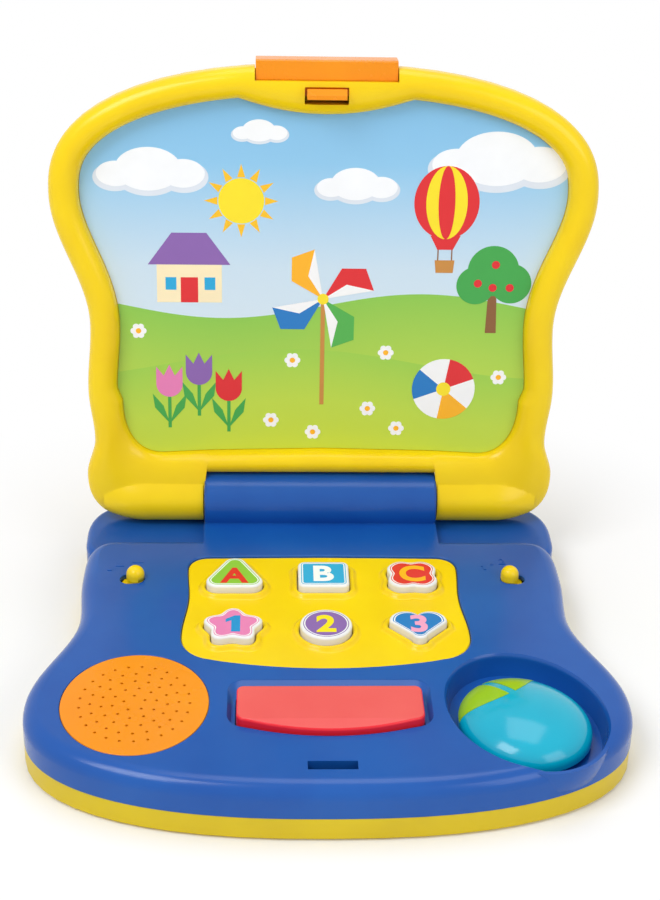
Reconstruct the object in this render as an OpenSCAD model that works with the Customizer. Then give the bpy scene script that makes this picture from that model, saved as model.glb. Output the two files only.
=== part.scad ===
// Toy laptop computer: a blue base on a yellow tray, with a fold-down yellow lid.
// Origin: the middle of the tray's flat underside. +Z up, -Y towards the child, +X to the right.
// Plan positions on the base are given as "reach": the distance in front of the hinge axis.
// The lid is drawn in its own frame: X across, Y up the lid from the hinge axis, Z out of its face.

/* [Case] */
// Greatest width of the case and of the lid
body_w = 250; // [236:1:266]
// Hinge axis to the front edge
front_reach = 208; // [200:1:220]
// Hinge axis to the rear edge
rear_reach = 14; // [14:0.5:18]
// Reach of the widest place
widest_at = 150; // [146:1:154]
// Width at the waist
waist_w = 216.4; // [208:1:222]
// Reach of the waist
waist_at = 87; // [82:1:92]
// Width across the shoulders, between waist and notch
shoulder_w = 220.2; // [214:1:226]
// Reach of the shoulders
shoulder_at = 56; // [52:1:60]
// Width across the rear lobes
lobe_w = 223.6; // [218:1:228]
// Reach of the middle of the rear lobes
lobe_at = 13; // [11:0.5:15]
// Height of the yellow tray
tray_h = 11; // [9:0.5:12]
// Height of the deck
deck_z = 26; // [25:0.25:27]
// Height of the low shelf under the lid's side barrels
shelf_z = 21.4; // [20.5:0.1:21.6]
// Rounding of the deck's edge
deck_round = 7; // [5:0.5:8]
// Wall of the moulded shells
wall = 2.2; // [1.8:0.1:2.6]
// Gap at a seam between two shells
seam_gap = 0.15; // [0.1:0.05:0.3]

/* [Hinge] */
// Height of the hinge axis
hinge_z = 32.5; // [32:0.25:34]
// Radius of the base's middle barrel
barrel_r = 14; // [13:0.25:14.5]
// Length of the base's middle barrel
barrel_len = 111; // [100:1:116]
// Radius of the lid's two side barrels
side_barrel_r = 10.3; // [9.5:0.1:10.6]
// Half the width across the ends of the side barrels
side_barrel_end = 103.5; // [100:0.5:105]
// Gap between the middle barrel and a side barrel
barrel_gap = 0.7; // [0.4:0.1:1.2]
// Radius of the hinge pins
pin_r = 2.5; // [2:0.25:3]
// Length of a hinge pin
pin_len = 26; // [20:1:30]
// Radial clearance of a pin in the lid
pin_clear = 0.06; // [0.03:0.01:0.1]
// Lean of the open lid past upright, in degrees
lid_lean = 7.5; // [4:0.5:10]

/* [Lid] */
// Width of the round rim beside the picture
rim_w = 13.5; // [12:0.5:15]
// Gap between the closed rim and the deck
lid_gap = 0.3; // [0.2:0.05:0.5]
// Depth of the lid behind the hinge axis
lid_back_d = 13; // [12.5:0.25:13.5]
// Rounding of the back cover's edge
lid_round = 8; // [6:0.5:9]
// Where the back cover meets the front frame, behind the hinge axis
lid_seam = 3; // [2.5:0.25:4]
// Depth of the picture behind the hinge axis
picture_in = 2.5; // [2:0.25:3]
// Thickness of the picture card
card_t = 0.5; // [0.4:0.1:0.8]
// Height of the picture opening's bottom edge up the lid, in the middle
opening_low = 25.6; // [24:0.2:28]
// Height of the lowest point of the opening's top edge up the lid
opening_dip = 186; // [182:1:188]

/* [Latch] */
// Width of the push bar
latch_w = 63; // [50:1:70]
// How far the push bar stands out of the lid's edge
latch_proud = 2.2; // [1.6:0.2:3]
// Push travel of the latch
latch_travel = 2.8; // [2.6:0.1:3.2]
// Width of the hook
hook_w = 17.6; // [14:0.2:20]
// Thickness of the hook's neck
hook_t = 2; // [1.8:0.1:2.4]
// How far the hook's nose reaches under the deck
hook_catch = 2.4; // [2:0.1:2.6]
// Reach of the hook's catching edge in the deck
catch_at = 196.2; // [195:0.2:197]

/* [Keys] */
// Distance between two keys across
key_pitch_x = 40.3; // [38:0.1:41]
// Distance between the two rows
key_pitch_y = 40; // [38:0.5:42]
// Reach of the rear row
key_row_at = 63; // [62:0.5:65]
// Height of the key tops
key_top = 30; // [29:0.25:30.5]
// Radius of the round key, which sets the size of them all
key_r = 11.3; // [10:0.1:11.6]
// Travel of a key, the bar and the mouse
key_travel = 2.2; // [1.5:0.1:2.4]
// Gap round a key in its hole
key_gap = 0.45; // [0.3:0.05:0.6]
// Width of the collar round a key
collar_w = 2; // [1.6:0.1:2.4]
// Depth of the keypad plate's face below the deck
plate_in = 0.8; // [0.4:0.1:1.2]

/* [Bar and mouse] */
// Width of the red bar
bar_w = 76; // [60:1:76]
// Reach of the bar's rear edge
bar_at = 146.8; // [145:0.2:148]
// Depth of the bar from its rear edge to the middle of its bowed front edge
bar_d = 28; // [24:0.5:28]
// How much the front edge of the bar bows
bar_bow = 5.5; // [4:0.5:9]
// Height of the bar's top
bar_top = 29.6; // [28.6:0.2:30]
// Half length of the mouse
mouse_a = 28.8; // [28:0.1:29]
// Half width of the mouse
mouse_b = 26.3; // [25:0.1:26.5]
// Height of the top of the mouse
mouse_top = 33; // [32:0.2:33.2]
// Distance of the mouse from the middle of the case
mouse_x = 79; // [78:0.5:80]
// Reach of the middle of the mouse
mouse_at = 162; // [161:0.5:163]
// Height of the floor of the mouse well
well_z = 15.6; // [15.2:0.1:16.4]

/* [Speaker and switches] */
// Half width of the speaker grille
grille_r = 30.2; // [28:0.1:31]
// Distance of the grille from the middle of the case
grille_x = 79.4; // [77:0.2:81]
// Reach of the grille's middle
grille_at = 154; // [152:0.5:156]
// Radius of a sound hole
sound_r = 0.7; // [0.5:0.05:1]
// Distance of a switch from the middle of the case
switch_x = 85.3; // [82:0.1:88]
// Reach of a switch knob
switch_at = 61; // [59:0.5:63]
// Radius of the arc that a knob moves on
switch_arm = 14; // [12:0.5:16]
// Half the swing of a knob, in degrees: it rests at the inner end
switch_swing = 6; // [5:0.5:13]
// Radius of a knob
knob_r = 4.1; // [3.5:0.1:4.4]
// Height of the top of a knob
knob_top = 32.5; // [31:0.1:33]

/* [Inside] */
// Thickness of the circuit board
board_t = 1.6; // [1.2:0.1:1.8]
// Height of the board's underside
board_z = 12.8; // [12.4:0.1:13.2]
// Diameter of an AA cell
cell_d = 14.5; // [14:0.1:14.5]
// Length of an AA cell over its button
cell_l = 50.5; // [50:0.1:50.5]
// Radius of the case screws' shanks
screw_r = 1.4; // [1.2:0.1:1.5]

/* [Hidden] */
$fn = 48;
hinge_y = (front_reach - rear_reach) / 2;
half_w = body_w / 2;
crest = hinge_z - deck_z - lid_gap;
deck_in = deck_z - wall;
shelf_in = shelf_z - wall;
eps = 0.01;
// Slack between two faces that lie on each other
seat_gap = 0.05;

// ---- outlines: lists of [x, reach], right half from rear to front, then mirrored ----
nose_power = 2.4;
function super(cx, cy, a, b, n, t) =
    [cx + a * sign(cos(t)) * pow(abs(cos(t)), 2 / n), cy + b * sign(sin(t)) * pow(abs(sin(t)), 2 / n)];
function arc_pts(cx, cy, a, b, n, t0, t1, k) =
    [for (i = [0:k]) super(cx, cy, a, b, n, t0 + (t1 - t0) * i / k)];
function ease(t) = (1 - cos(180 * t)) / 2;
function blend_pts(x0, y0, x1, y1, k) =
    [for (i = [1:k - 1]) [x0 + (x1 - x0) * ease(i / k), y0 + (y1 - y0) * i / k]];
function both(h) = concat(h, [for (i = [len(h) - 1:-1:0]) if (h[i][0] > eps) [-h[i][0], h[i][1]]]);
function to_base(o) = [for (i = [len(o) - 1:-1:0]) [o[i][0], hinge_y - o[i][1]]];

// From the shoulders, past the waist and the widest place, round to the middle of the front
front_half = concat(
    [[shoulder_w / 2, shoulder_at]],
    blend_pts(shoulder_w / 2, shoulder_at, waist_w / 2, waist_at, 4),
    [[waist_w / 2, waist_at]],
    blend_pts(waist_w / 2, waist_at, half_w, widest_at, 8),
    arc_pts(0, widest_at, half_w, front_reach - widest_at, nose_power, 0, 90, 14));

// The raised deck, with squarish rear corners
corner_r = 22;
notch_at = 25;
deck_half = concat(
    arc_pts(shoulder_w / 2 - corner_r, shoulder_at, corner_r, shoulder_at - notch_at, 4, -90, -6, 7),
    front_half);
deck_outline = both(deck_half);

// The low rear shelf, with a round lobe at each end
shelf_half = concat(
    arc_pts(lobe_w / 2 - corner_r, lobe_at, corner_r, lobe_at + rear_reach, nose_power, -90, 0, 8),
    arc_pts(lobe_w / 2 - corner_r, lobe_at, corner_r, corner_r, 3.5, 10, 90, 7));
shelf_outline = both(shelf_half);

// The lid's outline in its own frame: the deck's, with the lobe drawn in and the barrels cut out
lobe_low = -side_barrel_r + 1;
cut_half = barrel_len / 2 + barrel_gap;
cut_top = barrel_r + 2;
notch_w = 215.4;
notch_lid = 31;
function lid_low_half(low) = concat(
    [[0, cut_top], [cut_half, cut_top], [cut_half, low], [(cut_half + lobe_w / 2 - corner_r) / 2, low]],
    arc_pts(lobe_w / 2 - corner_r, lobe_at, corner_r, lobe_at - low, nose_power, -90, 0, 8),
    blend_pts(lobe_w / 2, lobe_at, notch_w / 2, notch_lid, 4),
    [[notch_w / 2, notch_lid]],
    blend_pts(notch_w / 2, notch_lid, shoulder_w / 2, shoulder_at, 4));
lid_outline = both(concat(lid_low_half(lobe_low), front_half));
back_low = 2;
back_outline = both(concat(lid_low_half(back_low), front_half));

// The picture opening: the rim's width inside the outline, with a dip in the top edge
open_corner_x = 19;
open_corner_y = 27;
open_x = shoulder_w / 2 - 15.8;
dip_half = 39;
dip_rise = 7;
function unit(v) = v / norm(v);
function inward(o, i) = let (n = len(o), t = unit(o[(i + 1) % n] - o[(i + n - 1) % n])) [-t[1], t[0]];
function inset(o, d) = [for (i = [0:len(o) - 1]) o[i] + d * inward(o, i)];
function dip_y(x) = opening_dip + dip_rise * pow(x / dip_half, 2);
function below_dip(p) = abs(p[0]) < dip_half ? [p[0], min(p[1], dip_y(p[0]))] : p;
front_full = both(front_half);
open_front = [for (i = [0:len(front_half) - 1])
    let (q = i == 0 ? front_half[0] - [rim_w, 0] : front_full[i] + rim_w * inward(front_full, i))
    below_dip(i == len(front_half) - 1 ? [0, opening_dip] : q)];
function open_low_y(x) = opening_low - 3.6 * pow(x / open_x, 2);
// The rim beside the barrel leans in by less than the barrel's end gap
rim_lean = barrel_gap / 2;
open_half = concat(
    [[0, opening_low], [cut_half - rim_lean, open_low_y(cut_half)], [cut_half, open_low_y(cut_half)],
     [open_x - open_corner_x, open_low_y(open_x - open_corner_x)]],
    [for (i = [1:16]) super(open_x - open_corner_x, open_low_y(open_x - open_corner_x) + open_corner_y,
        open_corner_x, open_corner_y, 2.3, -90 + 90 * i / 16)],
    [for (i = [0:len(open_front) - 1]) open_front[i]]);
open_outline = both(open_half);

// ---- solids made of rings ----
// A closed skin over rings of equal length; each ring is a list of points, first one lowest
function ring_at(o, z) = [for (p = o) [p[0], p[1], z]];
module skin(rings) {
    n = len(rings[0]);
    m = len(rings);
    polyhedron(
        points = [for (r = rings) for (p = r) p],
        faces = concat(
            [[for (i = [0:n - 1]) i]],
            [for (j = [0:m - 2]) for (i = [0:n - 1])
                for (f = [[j * n + i, (j + 1) * n + (i + 1) % n, j * n + (i + 1) % n],
                          [j * n + i, (j + 1) * n + i, (j + 1) * n + (i + 1) % n]]) f],
            [[for (i = [n - 1:-1:0]) (m - 1) * n + i]]));
}
round_steps = 4;
// A plate with a rounded top edge, drawn counter-clockwise
module pillow(o, z0, z1, r) {
    skin(concat([ring_at(o, z0)],
        [for (k = [0:round_steps]) let (a = 90 * k / round_steps)
            ring_at(inset(o, r * (1 - cos(a))), z1 - r + r * sin(a))]));
}
module base_pillow(o, z0, z1, r) pillow(to_base(o), z0, z1, r);
module base_plate(o, z0, z1, grow = 0) {
    translate([0, 0, z0]) linear_extrude(z1 - z0) offset(delta = grow) polygon(to_base(o));
}
// Things at a place on the deck
module at(x, reach, z = 0) translate([x, hinge_y - reach, z]) children();
module on_lid() translate([0, hinge_y, hinge_z]) rotate([90 - lid_lean, 0, 0]) children();
module along_x(x0, x1, r) translate([x0, 0, 0]) rotate([0, 90, 0]) cylinder(r = r, h = x1 - x0);

// ---- shared outlines of the pieces in the deck ----
// Keypad plate: a rounded shape with hollow sides and a bowed front
pad_side = key_pitch_x + 21.3;
pad_waist = pad_side - 1.2;
pad_waist_at = key_row_at + 13;
pad_wide = pad_side + 1;
pad_rear = key_row_at - 21.2;
pad_front = key_row_at + key_pitch_y + 26.6;
pad_corner = 9.6;
pad_nose = [16, 17.4];
pad_corner_at = pad_rear + 0.8 + pad_corner;
pad_nose_at = pad_front - 23.6;
pad_half = concat(
    [[0, pad_rear], [pad_side - 31.6, pad_rear + 0.4]],
    arc_pts(pad_side - pad_corner, pad_corner_at, pad_corner, pad_corner, 2.2, -90, 0, 5),
    blend_pts(pad_side, pad_corner_at, pad_waist, pad_waist_at, 3),
    [[pad_waist, pad_waist_at]],
    blend_pts(pad_waist, pad_waist_at, pad_wide, pad_nose_at - 1.5, 3),
    arc_pts(pad_wide - pad_nose[0], pad_nose_at, pad_nose[0], pad_nose[1], 2.1, 0, 80, 6),
    [[pad_wide - 34.6, pad_front - 2], [0, pad_front]]);
pad_outline = both(pad_half);

bar_half = concat(
    [[0, bar_at]], arc_pts(bar_w / 2 - 3, bar_at + 3, 3, 3, 2, -90, 0, 3),
    arc_pts(bar_w / 2 - 4, bar_at + bar_d - bar_bow - 4, 4, 4, 2, 0, 72, 4),
    [for (i = [1:4]) let (t = 1 - i / 4) [t * (bar_w / 2 - 4), bar_at + bar_d - bar_bow * t * t]]);
bar_outline = both(bar_half);
bar_floor = deck_z - 2.6;

mouse_turn = 36;
grille_more = 3.2;
function egg(a, b, k = 48, fat = 0.05) = [for (i = [0:k - 1]) let (t = 360 * i / k)
    [b * cos(t) * (1 - fat * sin(t)), a * sin(t)]];
well_a = mouse_a + 9.9;
well_b = mouse_b + 4.8;
well_x = mouse_x + 1.3;
well_turn = -21;
well_at = mouse_at - 4;
well_slope = 1.6;

pad_flange = 3;
plate_z = deck_z - plate_in;
plate_low = deck_in - 1.6;
collar_h = 1.9;
flange_w = 1.7;
flange_t = 1.4;
stem_r = 2.6;
dome_h = 4;
board_top = board_z + board_t;
stem_low = board_top + dome_h + 0.05;

// ---- key outlines, about their own middle ----
module key_shape(kind, grow = 0) {
    r = key_r + grow;
    if (kind == "round") circle(r);
    if (kind == "square") offset(r = 3.2 + grow)
        square([key_r * 2.04 - 6.4, key_r * 1.82 - 6.4], center = true);
    if (kind == "triangle") offset(r = 5.2 + grow)
        polygon([[-key_r * 0.66, -key_r * 0.48], [key_r * 0.66, -key_r * 0.48], [0, key_r * 0.74]]);
    if (kind == "lobes") polygon([for (t = [0:7.5:359])
        (key_r * (1.02 - 0.11 * cos(4 * t) - 0.02 * cos(8 * t)) + grow) * [1.02 * cos(t), 0.98 * sin(t)]]);
    if (kind == "star") polygon([for (t = [0:6:359])
        (key_r * (0.98 + 0.13 * sin(5 * t)) + grow) * [1.05 * cos(t), 1.0 * sin(t)]]);
    if (kind == "heart") translate([0, 1.2]) offset(r = 3 + grow) polygon([for (t = [0:10:359])
        key_r * [0.84 * pow(sin(t), 3), 0.64 * cos(t) - 0.2 * cos(2 * t) - 0.08 * cos(3 * t)]]);
}
cap_low = plate_low - 0.1 - flange_t;
top_round = 0.8;
module keycap(kind) {
    color("white") {
        translate([0, 0, cap_low]) linear_extrude(flange_t) key_shape(kind, flange_w);
        translate([0, 0, cap_low]) linear_extrude(key_top - top_round - cap_low) key_shape(kind);
        translate([0, 0, key_top - top_round]) linear_extrude(top_round) key_shape(kind, -top_round / 2);
        translate([0, 0, stem_low]) cylinder(r = stem_r, h = cap_low - stem_low + eps);
    }
}
key_kinds = [["triangle", "square", "lobes"], ["star", "round", "heart"]];
function key_x(c) = (c - 1) * key_pitch_x;
function key_at(r) = key_row_at + r * key_pitch_y;
module key_shapes(grow) for (r = [0, 1]) for (c = [0:2])
    translate([key_x(c), hinge_y - key_at(r)]) key_shape(key_kinds[r][c], grow);
module key_node(r, c) at(key_x(c), key_at(r)) keycap(key_kinds[r][c]);
module dome() color("gainsboro") difference() {
    union() {
        translate([0, 0, board_top]) cylinder(r = 5.6, h = 0.8);
        translate([0, 0, board_top]) cylinder(r1 = 4.6, r2 = 3, h = dome_h);
    }
    translate([0, 0, board_top - eps]) cylinder(r1 = 3.8, r2 = 2.2, h = dome_h - 0.8);
}
module dome_node(r, c) at(key_x(c), key_at(r)) dome();

// ---- the base ----
// Joins round shells as one mesh
module one_mesh() resize([0, 0, 0]) children();
boss_r = 4;
head_r = 2.6;
head_h = 1.8;
shank_r = screw_r - 0.15;
pilot_r = screw_r - 0.05;
// Depth of the sunk screw heads in the tray
case_sink = 6;
post_wide = 2.8;
// The speaker lies against the deck from below, inside a ring wall
sound_open = grille_r - 4;
driver_r = sound_open + 2;
driver_t = 3.8;
driver_low = deck_in - 0.02 - driver_t;
magnet_low = driver_low - 7;
// Screw towers in the base: [x, reach]
tower_in = 12.1;
case_bosses = [for (b = [[shoulder_w / 2 - tower_in, shoulder_at + 10],
                         [waist_w / 2 - tower_in, waist_at + 25], [48, front_reach - 16]], s = [1, -1])
    [s * b[0], b[1]]];
mouse_hole_r = 6;
mouse_stem_r = mouse_hole_r - 0.5;
snap_clear = 0.02;
module well_cut(z0, z1, grow) at(well_x, well_at) rotate([0, 0, -well_turn])
    skin([for (k = [0:3]) let (t = k / 3, s = well_slope * (1 - t) * (1 - t))
        ring_at(egg(well_a - s + grow, well_b - s + grow, 44, 0), z0 + (z1 - z0) * t)]);
hook_slot = hook_t + latch_travel + 0.2;
module slot_cut() at(0, catch_at - hook_slot / 2, deck_z)
    cube([hook_w + 2, hook_slot, 4 * wall], center = true);
module switch_arc(r, swing, z0, z1) {
    translate([0, 0, z0]) linear_extrude(z1 - z0) offset(r = r, $fn = 24)
        polygon([for (t = [-swing:swing / 4:swing]) (switch_arm + 0.05) * [sin(t), cos(t)],
                 for (t = [swing:-swing / 4:-swing]) (switch_arm - 0.05) * [sin(t), cos(t)]]);
}
module at_switch(side) at(side * switch_x, switch_at + switch_arm) children();
hump_clear = 0.1;
hump_half = barrel_len / 2;
ridge_in = 2.8;
ridge_x0 = 60;
ridge_x1 = 88;
stop_gap = 0.3;
ridge_top = hinge_z + back_low * cos(lid_lean) - lid_back_d * sin(lid_lean) - stop_gap;
pocket_grow = 4.5;

module base_top() color("royalblue") one_mesh() {
    difference() {
        union() {
            base_pillow(deck_outline, tray_h + seam_gap, deck_z, deck_round);
            base_pillow(shelf_outline, tray_h + seam_gap, shelf_z, 3);
            at(-hump_half, 40, tray_h + seam_gap)
                cube([barrel_len, 40 + rear_reach - 0.5, deck_z - tray_h - seam_gap]);
            for (s = [-1, 1]) at(0, -rear_reach, shelf_in)
                translate([s > 0 ? ridge_x0 : -ridge_x1, -ridge_in, 0])
                cube([ridge_x1 - ridge_x0, ridge_in, ridge_top - shelf_in]);
        }
        // Hollow of the shell, stepped to follow the rounded edge
        base_plate(deck_outline, 0, deck_in - deck_round / 2, -wall);
        base_plate(deck_outline, 0, deck_in, -wall - deck_round / 2);
        base_plate(shelf_outline, 0, shelf_in - 1, -wall);
        at(wall - hump_half, 45, 0) cube([barrel_len - 2 * wall, 45 - barrel_foot - 2 * wall, deck_in]);
        // Seat of the hinge barrel, with its two screw holes
        at(-hump_half - hump_clear, barrel_foot + 0.05, seat_z) cube([barrel_len + 2 * hump_clear, 60, 60]);
        for (s = [-1, 1]) at(s * barrel_screw_x, 0, 0) cylinder(r = screw_r + 0.25, h = 60, $fn = 20);
        base_plate(pad_outline, 0, 60, key_gap / 2);
        base_plate(bar_outline, bar_floor, 60, pocket_grow);
        slot_cut();
        at(-grille_x, grille_at, 0) linear_extrude(60) polygon(egg(sound_open, sound_open, 48, 0));
        at(-grille_x, grille_at, deck_z - grille_t) linear_extrude(60)
            polygon(egg(grille_r + grille_more + 0.2, grille_r + 0.2, 60, 0));
        for (s = [-1, 1]) at_switch(s) rotate([0, 0, -s * switch_swing])
            switch_arc(knob_neck_r + knob_gap, switch_swing, 0, 60);
        well_cut(well_z - wall / 2, deck_z + eps, 0.5);
    }
    // Pocket under the bar
    difference() {
        base_plate(bar_outline, bar_floor - wall, deck_in + 0.5, pocket_grow + wall);
        base_plate(bar_outline, bar_floor, 60, pocket_grow);
        base_plate(bar_outline, 0, 60, key_gap);
    }
    // Cup of the mouse well
    difference() {
        intersection() {
            well_cut(well_z - wall, deck_z - 0.2, wall);
            base_pillow(deck_outline, tray_h + seam_gap, deck_z, deck_round);
        }
        well_cut(well_z, deck_z + eps, 0);
        at(mouse_x, mouse_at) cylinder(r = mouse_hole_r, h = 60, $fn = 32);
    }
    // Ring wall of the speaker
    at(-grille_x, grille_at, driver_low) difference() {
        cylinder(r = driver_r + 1.8, h = deck_in - driver_low + 0.5, $fn = 48);
        translate([0, 0, -1]) cylinder(r = driver_r + 0.3, h = 20, $fn = 48);
    }
    // Posts of the circuit board
    for (b = board_bosses) at(b[0], b[1], board_top + 0.02) difference() {
        cylinder(r = post_wide, h = deck_in - board_top + 0.5, $fn = 20);
        translate([0, 0, -1]) cylinder(r = pilot_r, h = 7, $fn = 16);
    }
    // Screw towers
    for (b = case_bosses) at(b[0], b[1], tray_h) difference() {
        cylinder(r = boss_r, h = deck_in + 0.5 - tray_h, $fn = 20);
        translate([0, 0, -1]) cylinder(r = pilot_r, h = 9, $fn = 16);
    }
}

// The middle barrel of the hinge, with its foot
barrel_foot = sqrt(pow(barrel_r, 2) - pow(hinge_z - deck_z, 2));
seat_z = shelf_in + 0.8;
barrel_hollow = hump_half - pin_len / 2 - 2;
barrel_screw_x = hump_half - 8;
module hinge_barrel() color("royalblue") at(0, 0) difference() {
    union() {
        intersection() {
            translate([0, 0, hinge_z]) rotate([0, 90, 0]) rotate_extrude($fn = 72)
                polygon([[0, -hump_half], [barrel_r - 1, -hump_half], [barrel_r, 1 - hump_half],
                         [barrel_r, hump_half - 1], [barrel_r - 1, hump_half], [0, hump_half]]);
            translate([-hump_half, -barrel_r, seat_z + 0.05]) cube([barrel_len, 2 * barrel_r, 3 * barrel_r]);
        }
        translate([-hump_half, -barrel_foot, seat_z + 0.05])
            cube([barrel_len, rear_reach + barrel_foot - 0.05, deck_z - seat_z]);
        translate([-hump_half, 0, seat_z + 0.05]) cube([barrel_len, rear_reach - 0.05, hinge_z - seat_z]);
    }
    translate([-barrel_hollow, wall - barrel_foot, 0])
        cube([2 * barrel_hollow, rear_reach + barrel_foot - 2 * wall, deck_z - wall / 2]);
    translate([0, 0, hinge_z]) along_x(-barrel_hollow, barrel_hollow, barrel_r - wall);
    translate([0, 0, hinge_z]) along_x(-hump_half - 1, hump_half + 1, pin_r);
    for (s = [-1, 1]) translate([s * barrel_screw_x, 0, 0]) cylinder(r = pilot_r, h = hinge_z - pin_r - 1.5);
}
module barrel_screws() color("silver") for (s = [-1, 1])
    at(s * barrel_screw_x, 0, shelf_in - 1 - head_h - 0.02) screw(hinge_z - pin_r - shelf_in - 1);

// Hinge pins: half in the middle barrel, half in the lid
module hinge_pin(s) color("silver") at(0, 0, hinge_z)
    along_x(s > 0 ? hump_half - pin_len / 2 : -hump_half - pin_len / 2,
            s > 0 ? hump_half + pin_len / 2 : -hump_half + pin_len / 2, pin_r);

// Yellow tray with the battery bay, open downwards
bay_half = cell_l / 2 + 3.6;
bay_near = 36;
bay_far = bay_near - 3 * cell_d - 1.2;
door_t = 1.8;
door_gap = 0.25;
cell_z = door_t + door_gap + 0.1;
bay_top = cell_z + cell_d + 0.25;
bay_roof = 1.2;
door_grow = 3;
door_tab = 6;
tray_edge = 1.4;
module bay_box(grow, z0, z1) at(-bay_half - grow, bay_near + grow, z0)
    cube([2 * (bay_half + grow), bay_near - bay_far + 2 * grow, z1 - z0]);
door_screw_at = bay_near + door_grow + 4.5;
module tray_2d(grow) offset(delta = grow) union() {
    polygon(to_base(deck_outline));
    polygon(to_base(shelf_outline));
}
module base_bottom() color("gold") difference() {
    union() {
        difference() {
            union() {
                linear_extrude(tray_edge) tray_2d(-tray_edge);
                translate([0, 0, tray_edge]) linear_extrude(tray_h - tray_edge) tray_2d(0);
            }
            translate([0, 0, wall]) linear_extrude(tray_h) tray_2d(-wall - 0.4);
        }
        bay_box(wall, 0, bay_top + bay_roof);
        for (b = case_bosses) at(b[0], b[1], 0) cylinder(r = boss_r + 1.5, h = tray_h - 0.1);
        at(0, door_screw_at, 0) cylinder(r = 5, h = 9);
        at(-grille_x, grille_at, 0) cylinder(r = 12, h = magnet_low - 0.02);
        for (q = [-1, 1]) mouse_board_corner(q) cylinder(r = post_wide, h = mouse_board_z - 0.02);
    }
    bay_box(0, -1, bay_top);
    at(-grille_x, grille_at, wall) cylinder(r = 10, h = 20);
    bay_box(door_grow, -1, door_t + door_gap);
    at(-door_tab, door_screw_at + door_tab, -1) cube([2 * door_tab, 2 * door_tab, door_t + door_gap + 1]);
    for (q = [-1, 1]) mouse_board_corner(q) translate([0, 0, wall]) cylinder(r = pilot_r, h = 9);
    for (b = case_bosses) at(b[0], b[1], 0) {
        translate([0, 0, -1]) cylinder(r = screw_r + 0.25, h = 20);
        translate([0, 0, -1]) cylinder(r = head_r + 0.8, h = case_sink + 1);
    }
    at(0, door_screw_at, 0) cylinder(r = pilot_r, h = 8);
}

// A cross-head screw pointing up, from the underside of its head
module screw(length, head = head_h) difference() {
    union() {
        cylinder(r = head_r, h = head);
        cylinder(r = shank_r, h = length);
    }
    for (a = [0, 90]) rotate([0, 0, a]) translate([-0.7 * head_r, -0.35, -eps])
        cube([1.4 * head_r, 0.7, head / 2]);
}
module case_screws() color("silver")
    for (b = case_bosses) at(b[0], b[1], case_sink - head_h - 0.02) screw(12);
module door_screw() color("silver") at(0, door_screw_at, 0.2) screw(7.6, 1);
module battery_door() color("gold") difference() {
    union() {
        bay_box(door_grow - door_gap, 0, door_t);
        at(-door_tab + door_gap, door_screw_at + door_tab - door_gap, 0)
            cube([2 * (door_tab - door_gap), 2 * door_tab, door_t]);
    }
    at(0, door_screw_at, -1) cylinder(r = screw_r + 0.2, h = 5);
    at(0, door_screw_at, -1) cylinder(r = head_r + 0.2, h = 2.22);
    for (i = [-3:3]) at(i * 4 - 0.5, bay_near - 8, -1) cube([1, 16, 1.5]);
}
cell_tip = 2.4;
module cell(flip) color("dimgray") rotate([0, 90, 0]) mirror([0, 0, flip]) {
    translate([0, 0, -cell_l / 2]) cylinder(r = cell_d / 2 - 0.1, h = cell_l - cell_tip);
    translate([0, 0, -cell_l / 2]) cylinder(r = 2.6, h = cell_l);
}
function cell_at(i) = bay_near - 0.6 - cell_d * (i + 0.5);
module batteries() for (i = [0:2]) at(0, cell_at(i), cell_z + cell_d / 2) cell(i % 2);
contact_t = 0.4;
module battery_contacts() color("silver") for (i = [0:2], s = [-1, 1])
    at(s * (bay_half - contact_t / 2 - 0.05), cell_at(i), cell_z + cell_d / 2) {
        cube([contact_t, cell_d - 3, cell_d - 4], center = true);
        translate([s > 0 ? -bay_half + cell_l / 2 + 0.3 : 0, 0, 0])
            along_x(0, bay_half - cell_l / 2 - 0.3, 2.2);
    }

// ---- pieces in the deck ----
module keypad_plate() color("gold") difference() {
    union() {
        base_plate(pad_outline, plate_low, plate_z);
        base_plate(pad_outline, plate_low, deck_in - 0.1, pad_flange);
        translate([0, 0, plate_low]) linear_extrude(collar_h + plate_z - plate_low)
            key_shapes(key_gap + collar_w);
    }
    translate([0, 0, plate_low - 1]) linear_extrude(key_top) key_shapes(key_gap);
}

bar_skin = 2;
module space_bar() color("red") difference() {
    union() {
        base_plate(bar_outline, bar_low, bar_top - 0.8);
        base_plate(bar_outline, bar_low, bar_top, -1);
        base_plate(bar_outline, bar_low - flange_t, bar_low, flange_w);
        for (s = [-1, 1]) at(s * bar_stem, bar_mid, stem_low)
            cylinder(r = stem_r, h = bar_top - stem_low - 1);
    }
    difference() {
        base_plate(bar_outline, 0, bar_top - bar_skin, -bar_skin);
        for (s = [-1, 1]) at(s * bar_stem, bar_mid, 0) cylinder(r = stem_r, h = 40);
    }
}
bar_low = bar_floor - wall - 0.1;
bar_mid = bar_at + bar_d / 2 - 2;
bar_stem = bar_w / 2 - 12;
module bar_domes() for (s = [-1, 1]) at(s * bar_stem, bar_mid) dome();

mouse_low = well_z + key_travel + 0.3;
module mouse_place() at(mouse_x, mouse_at) rotate([0, 0, mouse_turn]) children();
function mouse_ring(t, grow = 0) = let (s = cos(90 * t))
    egg(mouse_a * s + grow, mouse_b * s + grow, 32);
module mouse_dome_solid(grow, top) skin(concat([ring_at(mouse_ring(0, grow), mouse_low)],
    [for (k = [0:5]) let (t = k / 5.6)
        ring_at(mouse_ring(t, grow), mouse_low + 2 + (top - mouse_low - 2) * sin(90 * t))]));
mouse_skin = 2;
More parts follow.
